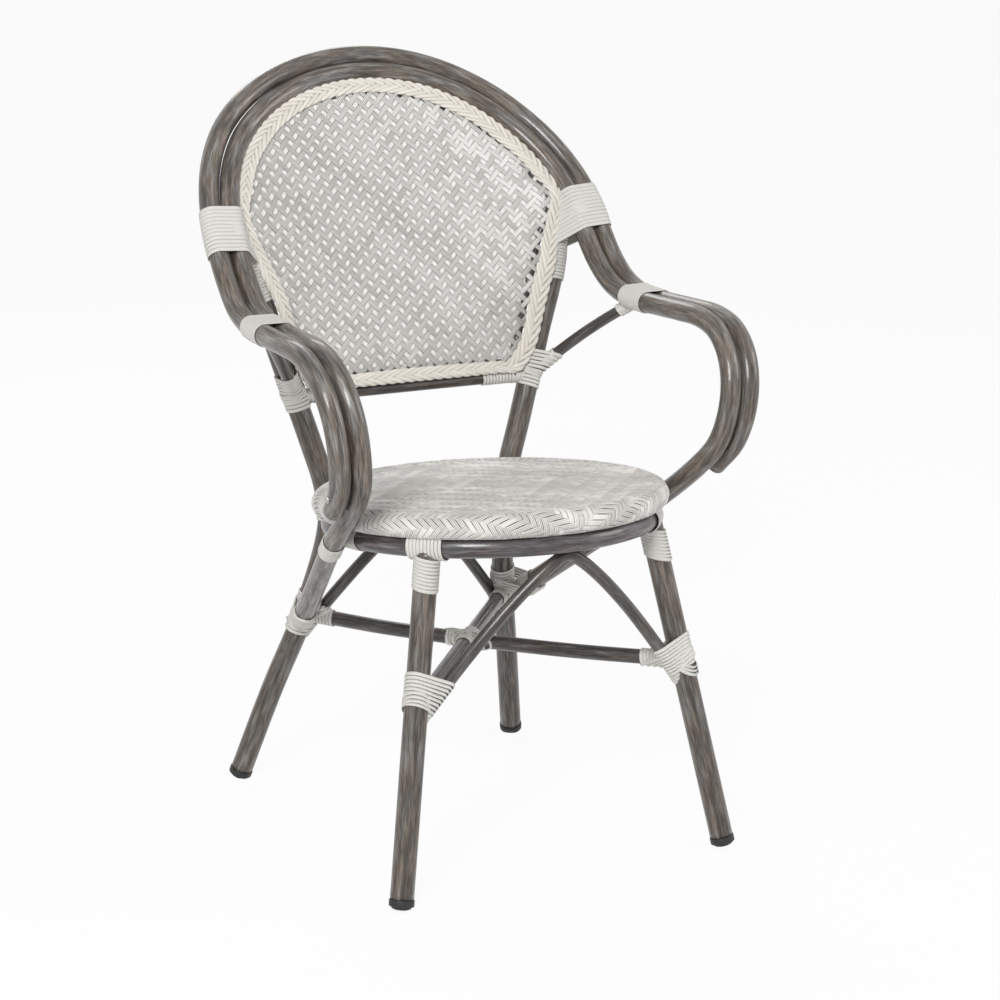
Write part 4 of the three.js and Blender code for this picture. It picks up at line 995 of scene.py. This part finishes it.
# %% [markdown]
# ## Windings
# A strand that is pulled tight round several tubes takes the shape of their common outline in
# the plane of its turn. Each tube makes an ellipse in that plane. For each direction in turn,
# the farthest point of any ellipse is on the outline, and joined up these points are one turn.
# Each strand starts and ends on the side that the camera doesn't see.

# %% Winding helper


def crossing_of(line, spot, normal):
    """Where the line passes the plane nearest to the spot, and its direction there."""
    side = (line - spot) @ normal
    passes = np.flatnonzero(side[:-1] * side[1:] <= 0)
    if len(passes) == 0:
        return None
    part = (side[passes] / (side[passes] - side[passes + 1] + 1e-12))[:, None]
    hits = line[passes] * (1 - part) + line[passes + 1] * part
    nearest = np.argmin(np.linalg.norm(hits - spot, axis=1))
    return hits[nearest], unit(line[passes[nearest] + 1] - line[passes[nearest]])


HIDDEN_SIDE, TURN_STEPS, STRAND_THICKNESS = (0.46, 0.85, -0.2), 36, 1.5


def turn_points(tubes, spot, normal, angles, lift, reach):
    """Points on the outline of the tubes in one plane, for each of these directions."""
    first = square_to(HIDDEN_SIDE, normal)
    second = np.cross(normal, first)
    outward = np.outer(np.cos(angles), first) + np.outer(np.sin(angles), second)
    best = np.full(len(angles), -np.inf)
    found = np.zeros((len(angles), 3))
    for line, diameter in tubes:
        crossed = crossing_of(line, spot, normal)
        if crossed is None or abs(crossed[1] @ normal) < 0.2:
            continue
        centre, way = crossed
        if np.linalg.norm(centre - spot) > reach:
            continue
        one = square_to([0.5, 0.1, 0.3], way)
        two = np.cross(way, one)
        ones, twos = (e - way * (e @ normal) / (way @ normal) for e in (one, two))
        a, b = outward @ ones, outward @ twos
        size = np.hypot(a, b)
        radius = diameter / 2 + lift
        support = outward @ centre + radius * size
        point = centre + radius * (np.outer(a / size, ones) + np.outer(b / size, twos))
        better = support > best
        best[better], found[better] = support[better], point[better]
    return found, outward


def wind(tubes, start, end, pitch=4.6, tilt=None, lift=0.9, reach=60):
    """A strand wound from start to end. Its turns stand square to the way, or to tilt."""
    start, end = np.asarray(start, float), np.asarray(end, float)
    turns = max(1, round(np.linalg.norm(end - start) / pitch))
    normals = unit(np.atleast_2d(end - start if tilt is None else np.asarray(tilt, float)))
    count = turns * TURN_STEPS
    line, high, wide = (np.zeros((count + 1, 3)) for _ in range(3))
    for k in range(count + 1):
        part = k / count
        spot = start + (end - start) * part
        wide[k] = unit(normals[0] * (1 - part) + normals[-1] * part)
        angle = np.array([2 * math.pi * k / TURN_STEPS])
        point, outward = turn_points(tubes, spot, wide[k], angle, lift, reach)
        line[k], high[k] = point[0], outward[0]
    return line, wide, high, 0.2


def bind(name, windings, stands_for, width=4.3):
    """One piece from the windings of a joint."""
    return sweep(name, windings, strand_section(width, STRAND_THICKNESS), binding_strand,
                 [stands_for])


def between(line, top, bottom):
    """The points where a leg passes two heights."""
    return at_height(line, top), at_height(line, bottom)


def along_line(line, start, stop):
    """Two points this many millimetres from the line's beginning."""
    length = length_of(line)
    return at(line, start / length), at(line, stop / length)


# %% [markdown]
# ## Bindings on the back
# The widest winding holds both hoops and the upright's top, and a neck of slanting turns goes
# on from it to the upright's own winding. Lower down, both hoops are bound where they turn
# into the arm, over the end of the side brace. Where the rail and the brace meet the upright,
# slanting turns cross over the joint, and the rail and the brace have a few turns of their own.

# %% Back bindings
for name, side in BOTH_SIDES:
    outer, inner, leg, brace = on_side(side, outer_half, inner_half, rear_leg, side_brace)
    hoops = [(route(outer), HOOP_TUBE), (route(inner), HOOP_TUBE)]
    upright, arm_brace, rail = (leg, LEG_TUBE), (brace, BRACE_TUBE), (back_rail, RAIL_TUBE)
    ends = [hoop_point(side, share, 0) for share in (0.385, 0.452)]
    way, leg_way = unit(ends[1] - ends[0]), unit(at_height(leg, 650) - at_height(leg, 690))
    neck = wind([hoops[1], upright], *between(leg, 714, 682), 4.4, [way, leg_way], 1.4, reach=38)
    bind(f"back_winding_{name}", [wind([*hoops, upright], *ends, 5.1, way, 1.1), neck],
         f"back_binding_{name}", 5.2)
    bind(f"upright_winding_{name}", [wind([upright], *between(leg, 686, 634), 4.3)],
         f"upright_sleeve_{name}")

    arm_ends = [hoop_point(side, share, 0) for share in (0.586, 0.634)]
    along = unit(brace[-2] - brace[-6])
    bind(f"arm_winding_{name}", [wind(hoops, *arm_ends, 3.6, lift=0.8),
                                 wind([arm_brace], brace[-1] - along * 20, brace[-1] - along, 4.2)],
         f"arm_binding_{name}")

    axis = unit(at_height(leg, 545) - at_height(leg, 502))
    out = unit(brace[6] - brace[0])
    rail_start = rail_end * [side, 1, 1] - [side * 26, 0, 0]
    web = wind([upright, arm_brace], *between(leg, 547, 502), 4.6, axis, 1.0, reach=48)
    brace_turns = wind([arm_brace], brace[0] + out * 30, brace[0] + out * 52, 4.4)
    near_rail = wind([rail], rail_start + [side * 13, 0, 0], rail_start, 4.4, [side, 0, -0.5], 1.0)
    slant = wind([upright, arm_brace], brace[0] + axis * 6, brace[0] + axis * 14, 4.6,
                 axis + 0.9 * out, 1.9)
    bind(f"corner_winding_{name}", [web, brace_turns, near_rail, slant], f"corner_binding_{name}")
    bind(f"rail_winding_{name}", [wind([rail], rail_start, rail_start - [side * 46, 0, 0])],
         f"rail_binding_{name}")

# %% [markdown]
# ## Bindings under the seat
# A few turns hold each leg to the seat ring, the inner hoop is bound where it passes the
# ring, and the long windings lower down hold the stretcher's bars and arches to the legs.

# %% Low bindings
ring = (np.vstack([seat_ring, seat_ring[1:3]]), RING_TUBE)


def ring_part(angle, half_length):
    """The points this far to both sides of an angle on the ring."""
    reach = half_length / RING_RADIUS
    return on_ring(angle - reach, RING_RADIUS, 0), on_ring(angle + reach, RING_RADIUS, 0)


for name, side in BOTH_SIDES:
    front, rear, inner = on_side(side, front_leg, rear_leg, inner_half)
    inner = route(inner)
    leg, upright, hoop = (front, LEG_TUBE), (rear, LEG_TUBE), (inner, HOOP_TUBE)
    bind(f"ring_winding_{name}",
         [wind([ring], *ring_part(ring_angle(side, FRONT_LEG_ANGLE), 22), 4.5, lift=2.5)],
         f"ring_wrap_{name}")
    bind(f"front_top_winding_{name}", [wind([leg], *between(front, 391, 354), 4.2, [0.13, -0.07, 1])],
         f"front_top_binding_{name}")
    near = hoop_pass * [side, 1, 1]
    down = unit(hoop_end * [side, 1, 1] - near)
    bind(f"arm_ring_winding_{name}", [wind([hoop], near + down * 2, near + down * 34, 4.4),
                                      wind([ring], *ring_part(ring_angle(side, ARM_ANGLE), 15), 4.4)],
         f"arm_ring_binding_{name}")
    rear_angle = ring_angle(side, UPRIGHT_ANGLE)
    level = on_ring(rear_angle, RING_RADIUS, 0)[2]
    bind(f"upright_ring_winding_{name}", [wind([upright], *between(rear, level + 16, level - 16)),
                                          wind([ring], *ring_part(rear_angle, 15))],
         f"upright_ring_binding_{name}")

    bar, arch_line = (front_bar, front_arch[::-1]) if side > 0 else (through_bar, front_arch)
    lean, web_leans, bar_end = (0.4, (-0.75, 0.75), 50) if side > 0 else (0.5, (0.8,), 34)
    joint, axis = at_height(front, 226), unit(front[-1] - front[0])
    bar_way = unit(along_line(bar, 20, 40)[1] - bar[0])
    held = [leg, (bar, BAR_TUBE), (arch_line, ARCH_TUBE)]
    bundle = wind(held, *between(front, 258, 220), 4.5, axis + lean * bar_way, 1.0, reach=40)
    webs = [wind(held[:2], joint - axis * 6, joint + axis * 8, 4.6, axis + web_lean * bar_way, 1.9)
            for web_lean in web_leans]
    own_turns = [wind(held[1:2], *along_line(bar, 16, bar_end), 4.4),
                 wind(held[2:], *along_line(arch_line, 16, 34), 4.4)]
    bind(f"front_low_winding_{name}", [bundle, *own_turns, *webs], f"front_low_binding_{name}")

    bar, arch_line = (through_bar[::-1], rear_arch[::-1]) if side > 0 else (rear_bar, rear_arch)
    axis = unit(at_height(rear, 262) - at_height(rear, 209))
    joint = at_height(rear, 228)
    bar_way = unit(along_line(bar, 20, 40)[1] - bar[0])
    webs = [wind([upright, (bar, BAR_TUBE)], joint - axis * 7, joint + axis * 9, 4.6,
                 axis + web_lean * bar_way, 1.9) for web_lean in (-0.75, 0.75)]
    bind(f"rear_low_winding_{name}",
         [wind([upright], *between(rear, 262, 209)),
          wind([upright, hoop], *between(rear, 252, 218), lift=2.2),
          wind([hoop], *along_line(inner[::-1], 3, 34), 4.5),
          wind([(bar, BAR_TUBE)], *along_line(bar, 15, 42), 4.4),
          wind([(arch_line, ARCH_TUBE)], *along_line(arch_line, 17, 38), 4.4), *webs],
         f"rear_low_binding_{name}")

through, front_half, rear_half = ((bar, BAR_TUBE) for bar in (through_bar, front_bar, rear_bar))
middle_way = unit(through_rear - through_front)
front_way, rear_way = unit(half_front - crossing), unit(half_rear - crossing)
own_turns = [wind([bar], crossing + way * start, crossing + way * stop, 4.4)
             for bar, way, start, stop in ((through, middle_way, -25, -9), (through, middle_way, 9, 25),
                                           (front_half, front_way, 9, 26), (rear_half, rear_way, 9, 26))]
fans = [wind([through, other], crossing - middle_way * 8, crossing + middle_way * 8, 4.6,
             middle_way + lean * way, 1.9)
        for other, way in ((front_half, front_way), (rear_half, rear_way)) for lean in (-0.6, 0.6)]
bind("centre_winding", [*own_turns, *fans], "centre_binding")

# %% [markdown]
# ## Floor and light
# The photograph has a white ground and light from all round, a little stronger from the left.
# A pale floor that glows partly for the camera alone stays nearly white and still keeps the
# chair's soft shadow. Two large soft lamps and an even sky light the chair at a plain level.

# %% Stage


def seen_directly(tree):
    """1 for a ray that shows the surface to the camera, also by way of a gloss or a pane, else 0."""
    rays = node(tree, "ShaderNodeLightPath")
    seen = rays.outputs["Is Camera Ray"]
    for kind in ("Is Glossy Ray", "Is Transmission Ray"):
        either = node(tree, "ShaderNodeMath", {0: seen, 1: rays.outputs[kind]}, operation="MAXIMUM")
        seen = either.outputs[0]
    return seen


LAMP_AIM = Vector((0, 0, 0.45))
for name, location, size, power in (("key_lamp", (-2.2, -2.4, 2.6), 1.4, 96),
                                    ("fill_lamp", (2.6, -1.6, 1.8), 1.6, 30),
                                    ("back_lamp", (0.6, 2.8, 2.4), 1.6, 26)):
    lamp = add_object(name, bpy.data.lights.new(name, "AREA"))
    lamp.data.shape, lamp.data.size, lamp.data.energy = "DISK", size, power
    lamp.location = location
    lamp.rotation_mode = "QUATERNION"
    lamp.rotation_quaternion = (Vector(location) - LAMP_AIM).to_track_quat("Z", "Y")

bm = bmesh.new()
bmesh.ops.create_grid(bm, x_segments=1, y_segments=1, size=60)
bmesh.ops.translate(bm, verts=bm.verts, vec=(0, 0, -0.0006))
floor = add_object("floor", mesh_from(bm, "floor"))

paper, tree, shader = new_finish("white studio paper", 0.9)
shader.inputs["Base Color"].default_value = linear("#f4f4f4")
share = node(tree, "ShaderNodeMath", {0: seen_directly(tree), 1: 0.93}, operation="MULTIPLY")
glow = node(tree, "ShaderNodeEmission", {"Strength": 1.0})
mixed = node(tree, "ShaderNodeMixShader", {0: share.outputs[0], 1: shader.outputs[0], 2: glow.outputs[0]})
tree.links.new(mixed.outputs[0], tree.nodes["Material Output"].inputs["Surface"])
floor.data.materials.append(paper)

world = bpy.data.worlds.new("soft sky")
bpy.context.scene.world = world
world.use_nodes = True
tree = world.node_tree
strength = node(tree, "ShaderNodeMapRange", {0: seen_directly(tree), 3: 0.34, 4: 1.0})
sky = tree.nodes["Background"]
tree.links.new(strength.outputs[0], sky.inputs["Strength"])
sky.inputs["Color"].default_value = (1, 1, 1, 1)
bpy.context.scene.view_settings.view_transform = "Standard"
